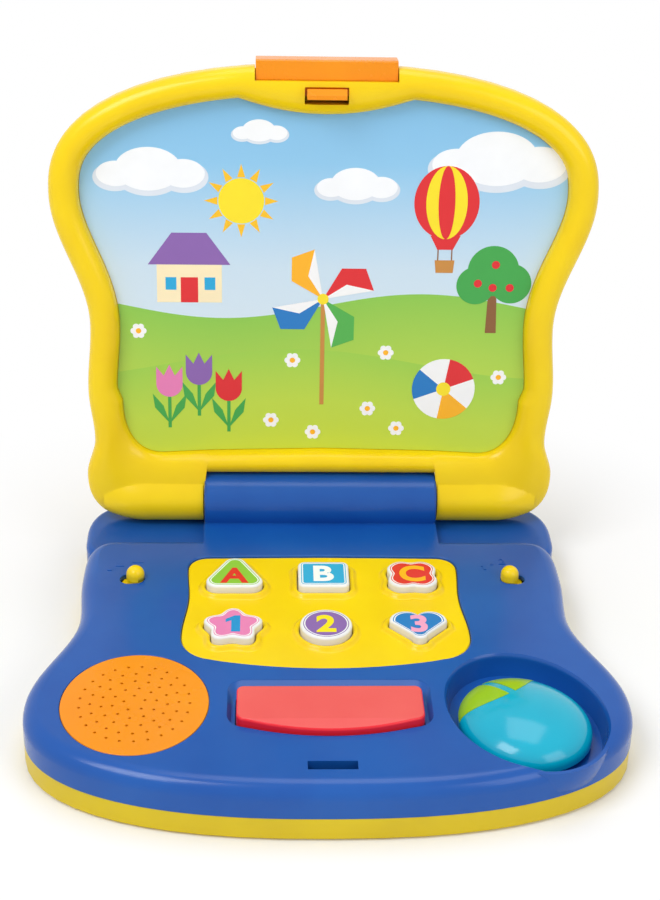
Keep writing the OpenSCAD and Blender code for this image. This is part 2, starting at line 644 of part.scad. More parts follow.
// The room of one button pad: beside the middle strip, ahead of the cross line
pad_strip = 1.6;
pad_line = 8;
pad_gap = 0.1;
module pad_cut(side, grow) mouse_place() mirror([side > 0 ? 0 : 1, 0, 0])
    translate([pad_strip + grow, pad_line + grow, mouse_low]) cube(2 * mouse_a);
module mouse_shell() color("deepskyblue") {
    difference() {
        mouse_place() mouse_dome_solid(0, mouse_top);
        mouse_place() translate([0, 0, -0.01]) mouse_dome_solid(-mouse_skin, mouse_top - mouse_skin);
        for (s = [-1, 1]) intersection() {
            pad_cut(s, 0);
            mouse_place() difference() {
                mouse_dome_solid(2, mouse_top + 2);
                mouse_dome_solid(-pad_t, mouse_top - pad_t);
            }
        }
    }
    at(mouse_x, mouse_at, well_z - wall - 1) cylinder(r = mouse_stem_r, h = mouse_top - well_z + wall);
}
// Snapped on to the mouse's stem from below the well
module mouse_foot() color("deepskyblue") at(mouse_x, mouse_at) difference() {
    union() {
        translate([0, 0, stem_low - mouse_drop]) cylinder(r = stem_r, h = key_travel + 0.1);
        translate([0, 0, well_z - wall - 0.1 - flange_t]) cylinder(r = mouse_hole_r + 1.6, h = flange_t);
    }
    translate([0, 0, well_z - wall - 1]) cylinder(r = mouse_stem_r + snap_clear, h = 5);
}
pad_t = 1;
module mouse_pads() color("yellowgreen") for (s = [-1, 1]) intersection() {
    pad_cut(s, pad_gap);
    mouse_place() difference() {
        mouse_dome_solid(0.02, mouse_top + 0.02);
        translate([0, 0, -eps]) mouse_dome_solid(pad_gap - pad_t, mouse_top - pad_t + pad_gap);
        translate([-mouse_a - 1, -mouse_a - 1, 0]) cube([2 * mouse_a + 2, 2 * mouse_a + 2, mouse_low + 3]);
    }
}
// The mouse has a small board of its own under the well
mouse_board_z = well_z - wall - 0.1 - flange_t - key_travel - dome_h - board_t;
mouse_drop = board_z - mouse_board_z;
mouse_board_r = 13;
mouse_board_hole = mouse_board_r - 3;
module mouse_dome() at(mouse_x, mouse_at, -mouse_drop) dome();
module mouse_board() color("seagreen") at(mouse_x, mouse_at, mouse_board_z)
    difference() {
        translate([-mouse_board_r, -mouse_board_r, 0])
            cube([2 * mouse_board_r, 2 * mouse_board_r, board_t]);
        for (q = [-1, 1]) translate([q * mouse_board_hole, q * mouse_board_hole, -1])
            cylinder(r = screw_r + 0.25, h = 5);
    }
module mouse_board_corner(q) at(mouse_x, mouse_at) translate([q * mouse_board_hole, q * mouse_board_hole, 0])
    children();

grille_t = 1.4;
grille_step = 0.149 * grille_r;
grille_rings = 5;
grille_long = 1 + grille_more / grille_r;
// A flat plate sunk flush in the deck, with rings of sound holes
module speaker_grille() color("orange") at(-grille_x, grille_at) difference() {
    translate([0, 0, deck_z - grille_t + seat_gap]) linear_extrude(grille_t - seat_gap)
        polygon(egg(grille_r + grille_more, grille_r, 60, 0));
    for (k = [1:grille_rings]) for (i = [0:5 * k - 1]) let (t = 360 * i / (5 * k) + 23 * k)
        translate([grille_step * k * cos(t), grille_long * grille_step * k * sin(t), deck_in])
            cylinder(r = sound_r, h = 2 * wall, $fn = 16);
}
module speaker_driver() color("dimgray") at(-grille_x, grille_at, 0) difference() {
    union() {
        translate([0, 0, driver_low]) cylinder(r = driver_r, h = driver_t);
        translate([0, 0, driver_low - 3]) cylinder(r1 = 13, r2 = driver_r - 4, h = 3.1);
        translate([0, 0, magnet_low]) cylinder(r = 13, h = 5);
    }
    translate([0, 0, driver_low + 0.8]) cylinder(r1 = 8, r2 = driver_r - 2, h = driver_t);
}
clamp_t = 1.6;
module speaker_clamp() color("silver") at(-grille_x, grille_at, driver_low - 0.02 - clamp_t) difference() {
    cylinder(r = driver_r + 3.4, h = clamp_t + 3);
    translate([0, 0, clamp_t]) cylinder(r = driver_r + 1.85, h = 9);
    translate([0, 0, -1]) cylinder(r = driver_r - 2.5, h = 9);
}

// Switch levers: a knob on an arm that swings about a post under the deck
knob_neck_r = knob_r - 0.4;
knob_gap = 0.3;
arm_z = deck_in - 2.1;
arm_t = 1.8;
module switch_lever(s) color("gold") at_switch(s) {
    translate([0, switch_arm, 0]) rotate_extrude() polygon(concat(
        [[0, arm_z + 1], [knob_neck_r, arm_z + 1]],
        [[knob_neck_r, deck_z + knob_gap], [knob_r, deck_z + knob_gap]],
        [for (t = [0:15:75]) [knob_r * cos(t), knob_top - knob_r + knob_r * sin(t)]], [[0, knob_top]]));
    translate([0, switch_arm, arm_z]) linear_extrude(arm_t) circle(r = knob_r + 2);
    difference() {
        union() {
            translate([-2.5, 0, arm_z]) cube([5, switch_arm, arm_t]);
            translate([0, 0, arm_z - 2]) cylinder(r = 4, h = arm_t + 2);
        }
        translate([0, 0, arm_z - 3]) cylinder(r = 1.55, h = 9);
    }
    translate([0, 6, arm_z - 3.4]) cylinder(r = 1.1, h = 3.5);
}
post_r = 1.5;
module switch_body(s) color("black") at_switch(s) {
    translate([0, 0, board_top]) cylinder(r = post_r, h = arm_z + arm_t - board_top);
    translate([0, 0, board_top]) cylinder(r = 4.4, h = arm_z - 2.2 - board_top);
    translate([-4.5, 5, board_top]) cube([9, 8, arm_z - 3.7 - board_top]);
}

// ---- board and wiring ----
board_far = bay_near + wall + 3;
board_near = pad_front + 0.4;
board_half = switch_x + 4.7;
board_main = board_half - 15;
wing_far = switch_at - 11;
wing_near = switch_at + 25;
nose_half = bar_stem + 16.5;
nose_near = bar_mid + 16.2;
board_bosses = [for (s = [1, -1], y = [board_far + 5.8, board_near - 20]) [s * (board_main - 6), y]];
module circuit_board() color("seagreen") difference() {
    at(0, 0, board_z) union() {
        translate([-board_main, -board_near, 0]) cube([2 * board_main, board_near - board_far, board_t]);
        translate([-board_half, -wing_near, 0]) cube([2 * board_half, wing_near - wing_far, board_t]);
        translate([-nose_half, -nose_near, 0]) cube([2 * nose_half, nose_near - board_near + 1, board_t]);
    }
    for (b = board_bosses) at(b[0], b[1], board_z - 1) cylinder(r = screw_r + 0.3, h = 5);
    well_cut(board_z - 1, deck_z, wall + 1.5);
    at(-grille_x, grille_at, 0) cylinder(r = driver_r + 5, h = 40);
}
module board_screws() color("silver") {
    for (b = board_bosses) at(b[0], b[1], board_z - head_h - 0.02) screw(9);
    for (q = [-1, 1]) mouse_board_corner(q) translate([0, 0, mouse_board_z + board_t + head_h + 0.02])
        mirror([0, 0, 1]) screw(head_h + mouse_board_z + board_t - wall - 0.3);
}
module chip_cover() color("black") at(nose_half - 2, board_near + 16, board_top) intersection() {
    translate([0, 0, -5]) sphere(r = 7.6);
    cylinder(r = 9, h = 6);
}
wire_r = 0.6;
wire_sides = 8;
wire_end = board_z - wire_r - 0.1;
// A ring of points round place i of a route
function wire_ring(pts, i) = let (a = pts[max(i - 1, 0)], b = pts[min(i + 1, len(pts) - 1)],
    d = unit(b - a), u = unit(cross(d, [0.1, 0.2, 1])), v = cross(u, d))
    [for (k = [0:wire_sides - 1]) let (t = 360 * k / wire_sides)
        pts[i] + wire_r * (cos(t) * u + sin(t) * v)];
module wire(pts) translate([0, hinge_y, 0]) skin([for (i = [0:len(pts) - 1]) wire_ring(pts, i)]);
module speaker_wires() color("red") for (s = [0, 1])
    wire([[-62, -152 + 3 * s, 10], [-55, -150 + 3 * s, 8], [-42, -146 + 3 * s, 9],
          [-32, -142 + 3 * s, wire_end]]);
module battery_wires() color("black") for (s = [0, 1])
    wire([[20 + 3 * s, -bay_near - wall - 0.1, 8], [20 + 3 * s, -bay_near - 8, 7],
          [24 + 3 * s, -bay_near - 16, 8], [28 + 3 * s, -bay_near - 26, wire_end]]);

// ---- the lid, in its own frame ----
rim_steps = 6;
picture_z = -picture_in;
panel_t = 1.6;
// Half a tube between the outline and the picture opening, on straight skirts
function rim_ring(o, i, f, z) =
    [for (k = [0:len(o) - 1]) let (p = o[k] + f * (i[k] - o[k])) [p[0], p[1], z]];
module rim_tube(o, i) {
    ring = concat(
        [rim_ring(o, i, 0, -lid_seam)],
        [for (j = [0:rim_steps]) let (a = 180 * j / rim_steps)
            rim_ring(o, i, (1 - cos(a)) / 2, crest * sin(a))],
        [rim_ring(o, i, 1, -lid_seam)]);
    n = len(o);
    m = len(ring);
    polyhedron(
        points = [for (r = ring) for (p = r) p],
        faces = [for (j = [0:m - 1]) for (k = [0:n - 1])
            let (a = j * n + k, b = j * n + (k + 1) % n,
                 c = ((j + 1) % m) * n + (k + 1) % n, d = ((j + 1) % m) * n + k)
            for (f = [[a, d, c], [a, c, b]]) f]);
}
module lid_plate(o, z0, z1, grow = 0)
    translate([0, 0, z0]) linear_extrude(z1 - z0) offset(delta = grow) polygon(o);
latch_gap = 0.35;
latch_low = front_reach - 6.4;
bar_heel = 2.6;
latch_top = front_reach + latch_proud;
latch_face = 3;
latch_back = wall - lid_back_d + 0.3;
window_low = catch_at - hook_slot - 0.1;
window_top = catch_at + hook_catch + 0.3;
pin_half = pin_len / 2 + 0.5;
module side_barrels() for (s = [0, 1]) mirror([s, 0, 0]) {
    along_x(cut_half + seat_gap, side_barrel_end - side_barrel_r, side_barrel_r);
    translate([side_barrel_end - side_barrel_r, 0, 0]) rotate([0, 90, 0])
        sphere(r = side_barrel_r);
}
// Screw towers in the lid: [x, height up the lid]
lid_bosses = [for (b = [[lobe_w / 2 - 12.8, notch_lid - 1], [waist_w / 2 - 5.9, waist_at - 7],
                        [half_w - 7.7, widest_at + 10], [59.3, front_reach - 10.2]], s = [-1, 1])
    [s * b[0], b[1]]];
lid_sink = 5;
lid_boss_r = 3.2;
module lid_frame() color("gold") on_lid() difference() {
    one_mesh() lid_frame_shell();
    for (s = [0, 1]) mirror([s, 0, 0]) along_x(cut_half - 1, hump_half + pin_half, pin_r + pin_clear);
}
module lid_frame_shell() difference() {
    union() {
        rim_tube(lid_outline, open_outline);
        lid_plate(open_outline, picture_z - panel_t, picture_z, 1);
        side_barrels();
    }
    difference() {
        lid_plate(lid_outline, -9, crest - 3.6, -wall - 1.4);
        lid_plate(open_outline, -9, 9, wall);
        for (s = [-1, 1]) translate([s * (cut_half + side_barrel_end) / 2, 0, 0])
            cube([side_barrel_end - cut_half + 8, 2 * side_barrel_r + 6, 30], center = true);
        for (b = lid_bosses) translate([b[0], b[1], -9]) cylinder(r = lid_boss_r, h = 20, $fn = 24);
    }
    for (b = lid_bosses) translate([b[0], b[1], -9]) cylinder(r = pilot_r, h = 9 + crest - 3, $fn = 16);
    translate([-latch_w / 2 - latch_gap, latch_low - 0.3, -20]) cube([latch_w + 2 * latch_gap, 40, 40]);
    translate([-latch_w / 2 - latch_gap, latch_low - latch_travel - 3, -20])
        cube([latch_w + 2 * latch_gap, 20, 20 + latch_face + 0.2]);
    translate([-hook_w / 2 - 1, window_low, -9]) cube([hook_w + 2, window_top - window_low, 30]);
    translate([-arm_half - 0.4, window_low, -9])
        cube([2 * arm_half + 0.8, latch_low - window_low, 9 + arm_top + 0.3]);
}
arm_half = 12;
arm_top = 1.2;
module lid_back() color("gold") on_lid() one_mesh() {
    lid_back_shell();
    // Stops of the latch springs
    for (s = [-1, 1]) translate([s * spring_x - 4, spring_low - 2.2, wall - lid_back_d - 1])
        cube([8, 2.1, lid_back_d - wall + 1 - lid_seam - 1.4]);
}
module lid_back_shell() difference() {
    mirror([0, 0, 1]) pillow(back_outline, lid_seam + seam_gap, lid_back_d, lid_round);
    difference() {
        lid_plate(back_outline, -lid_back_d + wall + lid_round / 2, 0, -wall);
        for (b = lid_bosses) translate([b[0], b[1], -20]) cylinder(r = lid_boss_r + 1, h = 40, $fn = 20);
    }
    difference() {
        lid_plate(back_outline, -lid_back_d + wall, 0, -wall - lid_round / 2);
        for (b = lid_bosses) translate([b[0], b[1], -20]) cylinder(r = lid_boss_r + 1, h = 40, $fn = 20);
    }
    for (b = lid_bosses) translate([b[0], b[1], -20]) {
        cylinder(r = screw_r + 0.25, h = 40, $fn = 16);
        cylinder(r = head_r + 0.4, h = 20 - lid_back_d + lid_sink, $fn = 20);
    }
    translate([-latch_w / 2 - latch_gap, latch_low - latch_travel - 0.2, -lid_back_d + wall])
        cube([latch_w + 2 * latch_gap, 40, 40]);
    for (s = [0, 1]) mirror([s, 0, 0]) {
        along_x(cut_half - 2, side_barrel_end - side_barrel_r, side_barrel_r + 0.25);
        translate([side_barrel_end - side_barrel_r, 0, 0]) rotate([0, 90, 0])
            sphere(r = side_barrel_r + 0.25, $fn = 48);
    }
}
module picture_card() color("lightskyblue") on_lid()
    lid_plate(open_outline, picture_z + 0.02, picture_z + 0.02 + card_t, -0.25);
module lid_screws() color("silver") on_lid()
    for (b = lid_bosses) translate([b[0], b[1], lid_sink - lid_back_d - head_h - 0.02]) screw(12);
// Push bar, arm and hook, one moulding that slides down the lid
hook_out = hinge_z - deck_in + 2.9;
hook_under = hinge_z - deck_in + 0.25;
latch_depth = latch_face - latch_back;
arm_thick = 2.4;
arm_from = min(catch_at, latch_low) - hook_t;
arm_to = max(catch_at, latch_low);
module latch_slider() color("orange") on_lid() {
    intersection() {
        translate([-latch_w / 2, latch_low, latch_back]) cube([latch_w, latch_top - latch_low, latch_depth]);
        translate([-latch_w / 2, latch_top - 20, (latch_face + latch_back) / 2]) rotate([0, 90, 0])
            cylinder(r = 20.6, h = latch_w, $fn = 96);
    }
    translate([-latch_w / 2, latch_low - bar_heel, latch_back])
        cube([latch_w, bar_heel + 0.1, latch_depth - 0.2]);
    translate([-arm_half, arm_from, arm_top - arm_thick]) cube([2 * arm_half, arm_to - arm_from, arm_thick]);
    translate([-hook_w / 2, catch_at - hook_t, arm_top - arm_thick])
        cube([hook_w, hook_t, hook_out - arm_top + arm_thick]);
    translate([-hook_w / 2, 0, 0]) rotate([90, 0, 90]) linear_extrude(hook_w)
        polygon([[catch_at - 0.2, hook_under], [catch_at + hook_catch, hook_under],
                 [catch_at + hook_catch, hook_under + 0.9], [catch_at - 0.2, hook_out]]);
}
spring_x = 18;
spring_r = 2.6;
spring_len = 7.9;
spring_low = latch_low - bar_heel - spring_len - 0.1;
module latch_springs() color("silver") on_lid() for (s = [-1, 1])
    translate([s * spring_x, spring_low, -4.5]) rotate([-90, 0, 0]) difference() {
        cylinder(r = spring_r, h = spring_len, $fn = 24);
        translate([0, 0, -1]) cylinder(r = spring_r - 0.6, h = 10, $fn = 24);
    }

base_top();
base_bottom();
hinge_barrel();
keypad_plate();
key_node(0, 0);  // key_a
key_node(0, 1);  // key_b
key_node(0, 2);  // key_c
key_node(1, 0);  // key_1
key_node(1, 1);  // key_2
key_node(1, 2);  // key_3
space_bar();
mouse_shell();
mouse_pads();
speaker_grille();
switch_lever(-1);  // switch_left
switch_lever(1);  // switch_right
lid_frame();
lid_back();
picture_card();
latch_slider();
latch_springs();
hinge_pin(-1);  // hinge_pin_left
hinge_pin(1);  // hinge_pin_right
circuit_board();
dome_node(0, 0);  // dome_a
dome_node(0, 1);  // dome_b
dome_node(0, 2);  // dome_c
dome_node(1, 0);  // dome_1
dome_node(1, 1);  // dome_2
dome_node(1, 2);  // dome_3
bar_domes();
mouse_dome();
speaker_driver();
speaker_clamp();
switch_body(-1);  // left_switch_body
switch_body(1);  // right_switch_body
batteries();
battery_contacts();
battery_door();
door_screw();
case_screws();
barrel_screws();
board_screws();
lid_screws();
speaker_wires();
battery_wires();
chip_cover();
mouse_board();
mouse_foot();
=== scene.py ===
# %% [markdown]
# # A toy laptop computer
# A child's first computer is two moulded shells on a hinge: a blue base on a yellow tray, and a
# yellow lid round a printed picture. The engineering model already says where every piece is.
# Here each visible piece gets its real roundings and its finish. All shapes are drawn in
# millimetres, with the child at -Y, and are made metres at the very end.
# %% Load the frame
import math

import bmesh
import bpy
from mathutils import Matrix, Vector


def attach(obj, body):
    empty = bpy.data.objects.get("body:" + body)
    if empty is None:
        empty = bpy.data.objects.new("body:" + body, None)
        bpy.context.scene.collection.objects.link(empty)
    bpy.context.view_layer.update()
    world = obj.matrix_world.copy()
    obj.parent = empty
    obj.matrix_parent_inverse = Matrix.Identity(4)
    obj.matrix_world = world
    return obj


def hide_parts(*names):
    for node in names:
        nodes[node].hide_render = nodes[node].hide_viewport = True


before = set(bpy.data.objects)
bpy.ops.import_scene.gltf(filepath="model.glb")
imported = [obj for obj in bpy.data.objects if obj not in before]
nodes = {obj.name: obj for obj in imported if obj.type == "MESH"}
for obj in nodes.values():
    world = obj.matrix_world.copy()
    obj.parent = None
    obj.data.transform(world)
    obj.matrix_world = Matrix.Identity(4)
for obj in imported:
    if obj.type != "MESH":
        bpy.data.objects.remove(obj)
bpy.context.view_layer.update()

print("CAD nodes:", len(nodes))

# %% [markdown]
# ## The camera
# The camera stands in front of the toy, a little to the left, and looks down at it by about 29
# degrees, from about 0.7 m. A long lens keeps the upright lid from leaning outwards. The view
# is built from three angles, so that each can be changed on its own.
# %% Camera
CAMERA_PITCH = math.radians(28.547)
CAMERA_YAW = math.radians(2.5135)
CAMERA_ROLL = math.radians(-1.4118)
CAMERA_PLACE = (-0.0270, -0.6166, 0.4481)
LENS_MM = 68.0

level_right = Vector((1, 0, 0))
level_up = Vector((0, math.sin(CAMERA_PITCH), math.cos(CAMERA_PITCH)))
forward = Vector((0, math.cos(CAMERA_PITCH), -math.sin(CAMERA_PITCH)))
right = level_right * math.cos(CAMERA_ROLL) - level_up * math.sin(CAMERA_ROLL)
up = level_right * math.sin(CAMERA_ROLL) + level_up * math.cos(CAMERA_ROLL)
facing = Matrix.Rotation(-CAMERA_YAW, 3, "Z") @ Matrix((right, up, -forward)).transposed()

camera_data = bpy.data.cameras.new("camera")
camera_data.lens = LENS_MM
camera_data.clip_start, camera_data.clip_end = 0.01, 20
camera = bpy.data.objects.new("camera", camera_data)
camera.matrix_world = Matrix.Translation(CAMERA_PLACE) @ facing.to_4x4()
bpy.context.scene.collection.objects.link(camera)
bpy.context.scene.camera = camera
print("camera at", [round(c, 3) for c in CAMERA_PLACE])

# %% [markdown]
# ## A small kit for materials
# Screen colours are written as sRGB hex values, but the shader counts in linear light, so one
# function turns them. Another adds a node, sets its sockets and links it, which keeps every
# recipe below to a few lines. Patterns are placed by Object coordinates, which are metres, so
# a feature of a given size needs a scale of one over that size.
# %% Material helpers
def linear(hex_colour):
    """An sRGB hex colour as linear RGBA."""
    out = []
    for i in (0, 2, 4):
        c = int(hex_colour[i:i + 2], 16) / 255
        out.append(c / 12.92 if c <= 0.04045 else ((c + 0.055) / 1.055) ** 2.4)
    return (*out, 1.0)


def add_node(tree, kind, settings=None, values=None, links=None):
    """Adds a node, with attribute settings, socket values and links from other sockets."""
    node = tree.nodes.new(kind)
    for key, value in (settings or {}).items():
        setattr(node, key, value)
    for key, value in (values or {}).items():
        node.inputs[key].default_value = value
    for key, source in (links or {}).items():
        tree.links.new(source, node.inputs[key])
    return node


def per_mm(size):
    """The scale of a pattern on Object coordinates whose features are this many mm apart."""
    return 1000.0 / size


def new_material(name):
    material = bpy.data.materials.new(name)
    material.use_nodes = True
    material.node_tree.nodes.clear()
    return material, material.node_tree


# %% [markdown]
# ## Moulded plastics
# The shells are glossy ABS from a polished steel mould: an even colour through and through, a
# sharp reflection, and a very slight long-wave unevenness where the wall shrank as it cooled.
# The soft parts, such as the key domes, are matt silicone. One recipe makes them all: colour
# that drifts a little over some 34 mm, roughness that drifts with handling, and two bumps, a
# long sink wave and a fine skin. The skin of a real mould is finer than a pixel here, so it is
# drawn at 0.6 mm, coarse enough to show as a slight softness. An etched face gets more of it.
# %% Plastic recipe
ABS_IOR = 1.54
SINK_MM = 34
SKIN_MM = 0.6
HANDLED_MM = 12
SINK_STRENGTH = 0.35
SINK_DEPTH = 0.0004
FINE_DEPTH = 0.0001


def moulded(name, colour, shade, roughness=0.2, skin=0.03, gloss=0.3, ior=ABS_IOR):
    """A moulded plastic: colour and shade are the two ends of its slight drift."""
    material, tree = new_material(name)
    place = add_node(tree, "ShaderNodeTexCoord").outputs["Object"]
    drift = add_node(tree, "ShaderNodeTexNoise", {}, {"Scale": per_mm(SINK_MM), "Detail": 3.0},
                     {"Vector": place})
    tint = add_node(tree, "ShaderNodeValToRGB", links={"Fac": drift.outputs["Fac"]})
    for element, position, tone in zip(tint.color_ramp.elements, (0.3, 0.7), (shade, colour)):
        element.position = position
        element.color = linear(tone)
    handled = add_node(tree, "ShaderNodeTexNoise", {}, {"Scale": per_mm(HANDLED_MM), "Detail": 4.0},
                       {"Vector": place})
    rough = add_node(tree, "ShaderNodeMapRange", {},
                     {"To Min": roughness * 0.8, "To Max": roughness * 1.25},
                     {"Value": handled.outputs["Fac"]})
    fine = add_node(tree, "ShaderNodeTexNoise", {}, {"Scale": per_mm(SKIN_MM), "Detail": 2.0},
                    {"Vector": place})
    wave = add_node(tree, "ShaderNodeBump", {}, {"Strength": SINK_STRENGTH, "Distance": SINK_DEPTH},
                    {"Height": drift.outputs["Fac"]})
    grain = add_node(tree, "ShaderNodeBump", {}, {"Strength": skin, "Distance": FINE_DEPTH},
                     {"Height": fine.outputs["Fac"], "Normal": wave.outputs["Normal"]})
    shader = add_node(tree, "ShaderNodeBsdfPrincipled", {}, {"IOR": ior, "Specular IOR Level": gloss},
                      {"Base Color": tint.outputs["Color"], "Roughness": rough.outputs["Result"],
                       "Normal": grain.outputs["Normal"]})
    add_node(tree, "ShaderNodeOutputMaterial", links={"Surface": shader.outputs["BSDF"]})
    return material


# Polished ABS in the toy's colours: saturated, with a clear reflection
blue_abs = moulded("polished_blue_abs", "1658AC", "1250A4", 0.2)
yellow_abs = moulded("polished_yellow_abs", "F8D604", "F2CC03", 0.24)
tray_abs = moulded("yellow_tray_abs", "DCC110", "D2B610", 0.34)
orange_abs = moulded("polished_orange_abs", "F5960A", "F08E08", 0.26)
white_abs = moulded("polished_white_abs", "F0F1F2", "E9EBED", 0.22)
red_abs = moulded("polished_red_abs", "F42634", "EC2030", 0.24)
cyan_abs = moulded("polished_cyan_abs", "02B1CD", "02A8C6", 0.14, gloss=0.36)
lime_abs = moulded("polished_lime_abs", "9BC81E", "93C01C", 0.22)
# The bar's top is rougher, with a broad, soft sheen, and its red is painted paler: a painted highlight
# for the light that falls on the top
red_painted_lit_top = moulded("red_abs_painted_lit_top", "EA5F5C", "E65654", 0.46, skin=0.12)
# Glass-filled nylon of the switch bodies: near black and dull
black_nylon = moulded("black_nylon", "26272A", "1C1D20", 0.55)
# Silicone of the key domes: milky and soft, with no clear reflection
silicone = moulded("milky_silicone", "D9DCDC", "CDD1D2", 0.62, ior=1.41)
# Epoxy drop over the chip
epoxy = moulded("black_epoxy", "17181B", "101114", 0.16)
wire_red = moulded("red_pvc_wire", "C32026", "B01A20", 0.4)
wire_black = moulded("black_pvc_wire", "202124", "18191B", 0.4)
print("materials so far:", len(bpy.data.materials))

# %% [markdown]
# ## Metals, board and cells
# Screws, pins and springs are bright zinc-plated or spring steel: full metal, with fine turning
# marks round them. The contacts are nickel-plated strip, the board is green solder mask over
# fibreglass with copper tracks, and the cells are sleeved in printed film. They sit inside, but
# each shows through a gap, an open bay or a cut view, so each is given its own surface.
# %% Metal, board and cell recipes
def brushed_metal(name, colour, roughness, line_mm):
    """A plated metal with fine lines this many mm apart."""
    material, tree = new_material(name)
    place = add_node(tree, "ShaderNodeTexCoord").outputs["Object"]
    stretch = add_node(tree, "ShaderNodeMapping", {}, {"Scale": (0.05, 1.0, 1.0)}, {"Vector": place})
    lines = add_node(tree, "ShaderNodeTexNoise", {}, {"Scale": per_mm(line_mm), "Detail": 3.0},
                     {"Vector": stretch.outputs["Vector"]})
    rough = add_node(tree, "ShaderNodeMapRange", {},
                     {"To Min": roughness * 0.7, "To Max": roughness * 1.4},
                     {"Value": lines.outputs["Fac"]})
    bump = add_node(tree, "ShaderNodeBump", {}, {"Strength": 0.15, "Distance": FINE_DEPTH},
                    {"Height": lines.outputs["Fac"]})
    shader = add_node(tree, "ShaderNodeBsdfPrincipled", {},
                      {"Base Color": linear(colour), "Metallic": 1.0},
                      {"Roughness": rough.outputs["Result"], "Normal": bump.outputs["Normal"]})
    add_node(tree, "ShaderNodeOutputMaterial", links={"Surface": shader.outputs["BSDF"]})
    return material


zinc_steel = brushed_metal("zinc_plated_steel", "C9CCCF", 0.3, 0.5)
nickel = brushed_metal("nickel_plated_strip", "D6D2C8", 0.22, 0.4)


def striped(name, low, high, period_mm, direction, share, roughness):
    """Two colours in bands across one axis, such as tracks on a board or print on a sleeve."""
    material, tree = new_material(name)
    place = add_node(tree, "ShaderNodeTexCoord").outputs["Object"]
    bands = add_node(tree, "ShaderNodeTexWave", {"bands_direction": direction},
                     {"Scale": per_mm(period_mm) * 0.05, "Distortion": 1.5, "Detail": 1.0},
                     {"Vector": place})
    mix = add_node(tree, "ShaderNodeValToRGB", links={"Fac": bands.outputs["Fac"]})
    for element, position, tone in zip(mix.color_ramp.elements, (share, share + 0.06), (low, high)):
        element.position = position
        element.color = linear(tone)
    bump = add_node(tree, "ShaderNodeBump", {}, {"Strength": 0.2, "Distance": FINE_DEPTH},
                    {"Height": bands.outputs["Fac"]})
    shader = add_node(tree, "ShaderNodeBsdfPrincipled", {}, {"Roughness": roughness},
                      {"Base Color": mix.outputs["Color"], "Normal": bump.outputs["Normal"]})
    add_node(tree, "ShaderNodeOutputMaterial", links={"Surface": shader.outputs["BSDF"]})
    return material


solder_mask = striped("green_solder_mask", "1B7A3E", "2C9A52", 3.0, "X", 0.62, 0.35)
cell_sleeve = striped("printed_cell_sleeve", "3A3D42", "C9A227", 60.0, "X", 0.8, 0.3)
paper_cone = striped("black_paper_cone", "1D1D20", "2B2B2F", 2.5, "Y", 0.5, 0.8)
print("all metals and inner finishes made")

# %% [markdown]
# ## Printing inks
# The picture and the key tops are screen printed: flat spot colours with a slight tooth from
# the mesh of the screen, under a thin clear varnish. A real screen has about 5 threads in a
# millimetre, too fine to show, so its tooth is drawn at 0.8 mm.
# %% Ink recipe
SCREEN_MM = 0.8
FLOW_MM = 9
INK_DEPTH = 0.00005
VARNISH = 0.25
SPOT_COLOURS = {
    "lime": "8CC63F", "red": "E02228", "cyan": "1CA8DC", "white": "F7F8F8", "amber": "FDB515",
    "pink": "E77FB6", "blue": "0F8FD0", "violet": "8A62AE", "yellow": "FBE31C", "azure": "1479C4",
    "rose": "F3A2C6", "cloud_grey": "DDE5EF", "cloud_white": "F7FAFD", "sun_ray": "FBC31B",
    "brown": "8A5A2E", "straw": "C98A3C", "cream": "FBEBC0", "leaf": "3DA648",
    "lime_dark": "4FB04A", "pale_red": "F7F8F8", "pale_amber": "F7F8F8", "pale_azure": "F7F8F8",
    "pale_lime_dark": "F7F8F8"}
inks = {}


def ink(name):
    """A spot colour of the print, made once for each name."""
    if name in inks:
        return inks[name]
    material, tree = new_material("screen_ink_" + name)
    place = add_node(tree, "ShaderNodeTexCoord").outputs["Object"]
    tooth = add_node(tree, "ShaderNodeTexVoronoi", {}, {"Scale": per_mm(SCREEN_MM)},
                     {"Vector": place})
    flow = add_node(tree, "ShaderNodeTexNoise", {}, {"Scale": per_mm(FLOW_MM), "Detail": 2.0},
                    {"Vector": place})
    shift = add_node(tree, "ShaderNodeMapRange", {}, {"To Min": 0.97, "To Max": 1.04},
                     {"Value": flow.outputs["Fac"]})
    tone = add_node(tree, "ShaderNodeHueSaturation", {}, {"Color": linear(SPOT_COLOURS[name])},
                    {"Value": shift.outputs["Result"]})
    bump = add_node(tree, "ShaderNodeBump", {}, {"Strength": 0.06, "Distance": INK_DEPTH},
                    {"Height": tooth.outputs["Distance"]})
    shader = add_node(tree, "ShaderNodeBsdfPrincipled", {}, {"Roughness": VARNISH, "IOR": 1.5},
                      {"Base Color": tone.outputs["Color"], "Normal": bump.outputs["Normal"]})
    add_node(tree, "ShaderNodeOutputMaterial", links={"Surface": shader.outputs["BSDF"]})
    inks[name] = material
    return material


# %% [markdown]
# ## A small kit for shapes
# Nearly every piece is a smooth outline that rises, rounds over and closes. So one function
# lofts a skin over rings of points: it starts from one loop of edges, extrudes the loop, and
# moves the new loop to its place. Outlines are made of power curves, which go from a circle
# towards a rounded square as the power grows, and of eased lines between them.
# %% Outline helpers
HINGE_Y = 97.0
HINGE_Z = 32.5
LID_LEAN = math.radians(7.5)
DECK_Z = 26.0
FINE = 3
NOSE_POWER = 2.4


def power_arc(cx, cy, a, b, power, start, end, count):
    """Points on a power curve, with angles in degrees."""
    points = []
    for i in range(count + 1):
        t = math.radians(start + (end - start) * i / count)
        c, s = math.cos(t), math.sin(t)
        points.append((cx + a * math.copysign(abs(c) ** (2 / power), c),
                       cy + b * math.copysign(abs(s) ** (2 / power), s)))
    return points


def eased(x0, y0, x1, y1, count):
    """The points between two ends, leaving and arriving straight along y."""
    return [(x0 + (x1 - x0) * (1 - math.cos(math.pi * i / count)) / 2, y0 + (y1 - y0) * i / count)
            for i in range(1, count)]


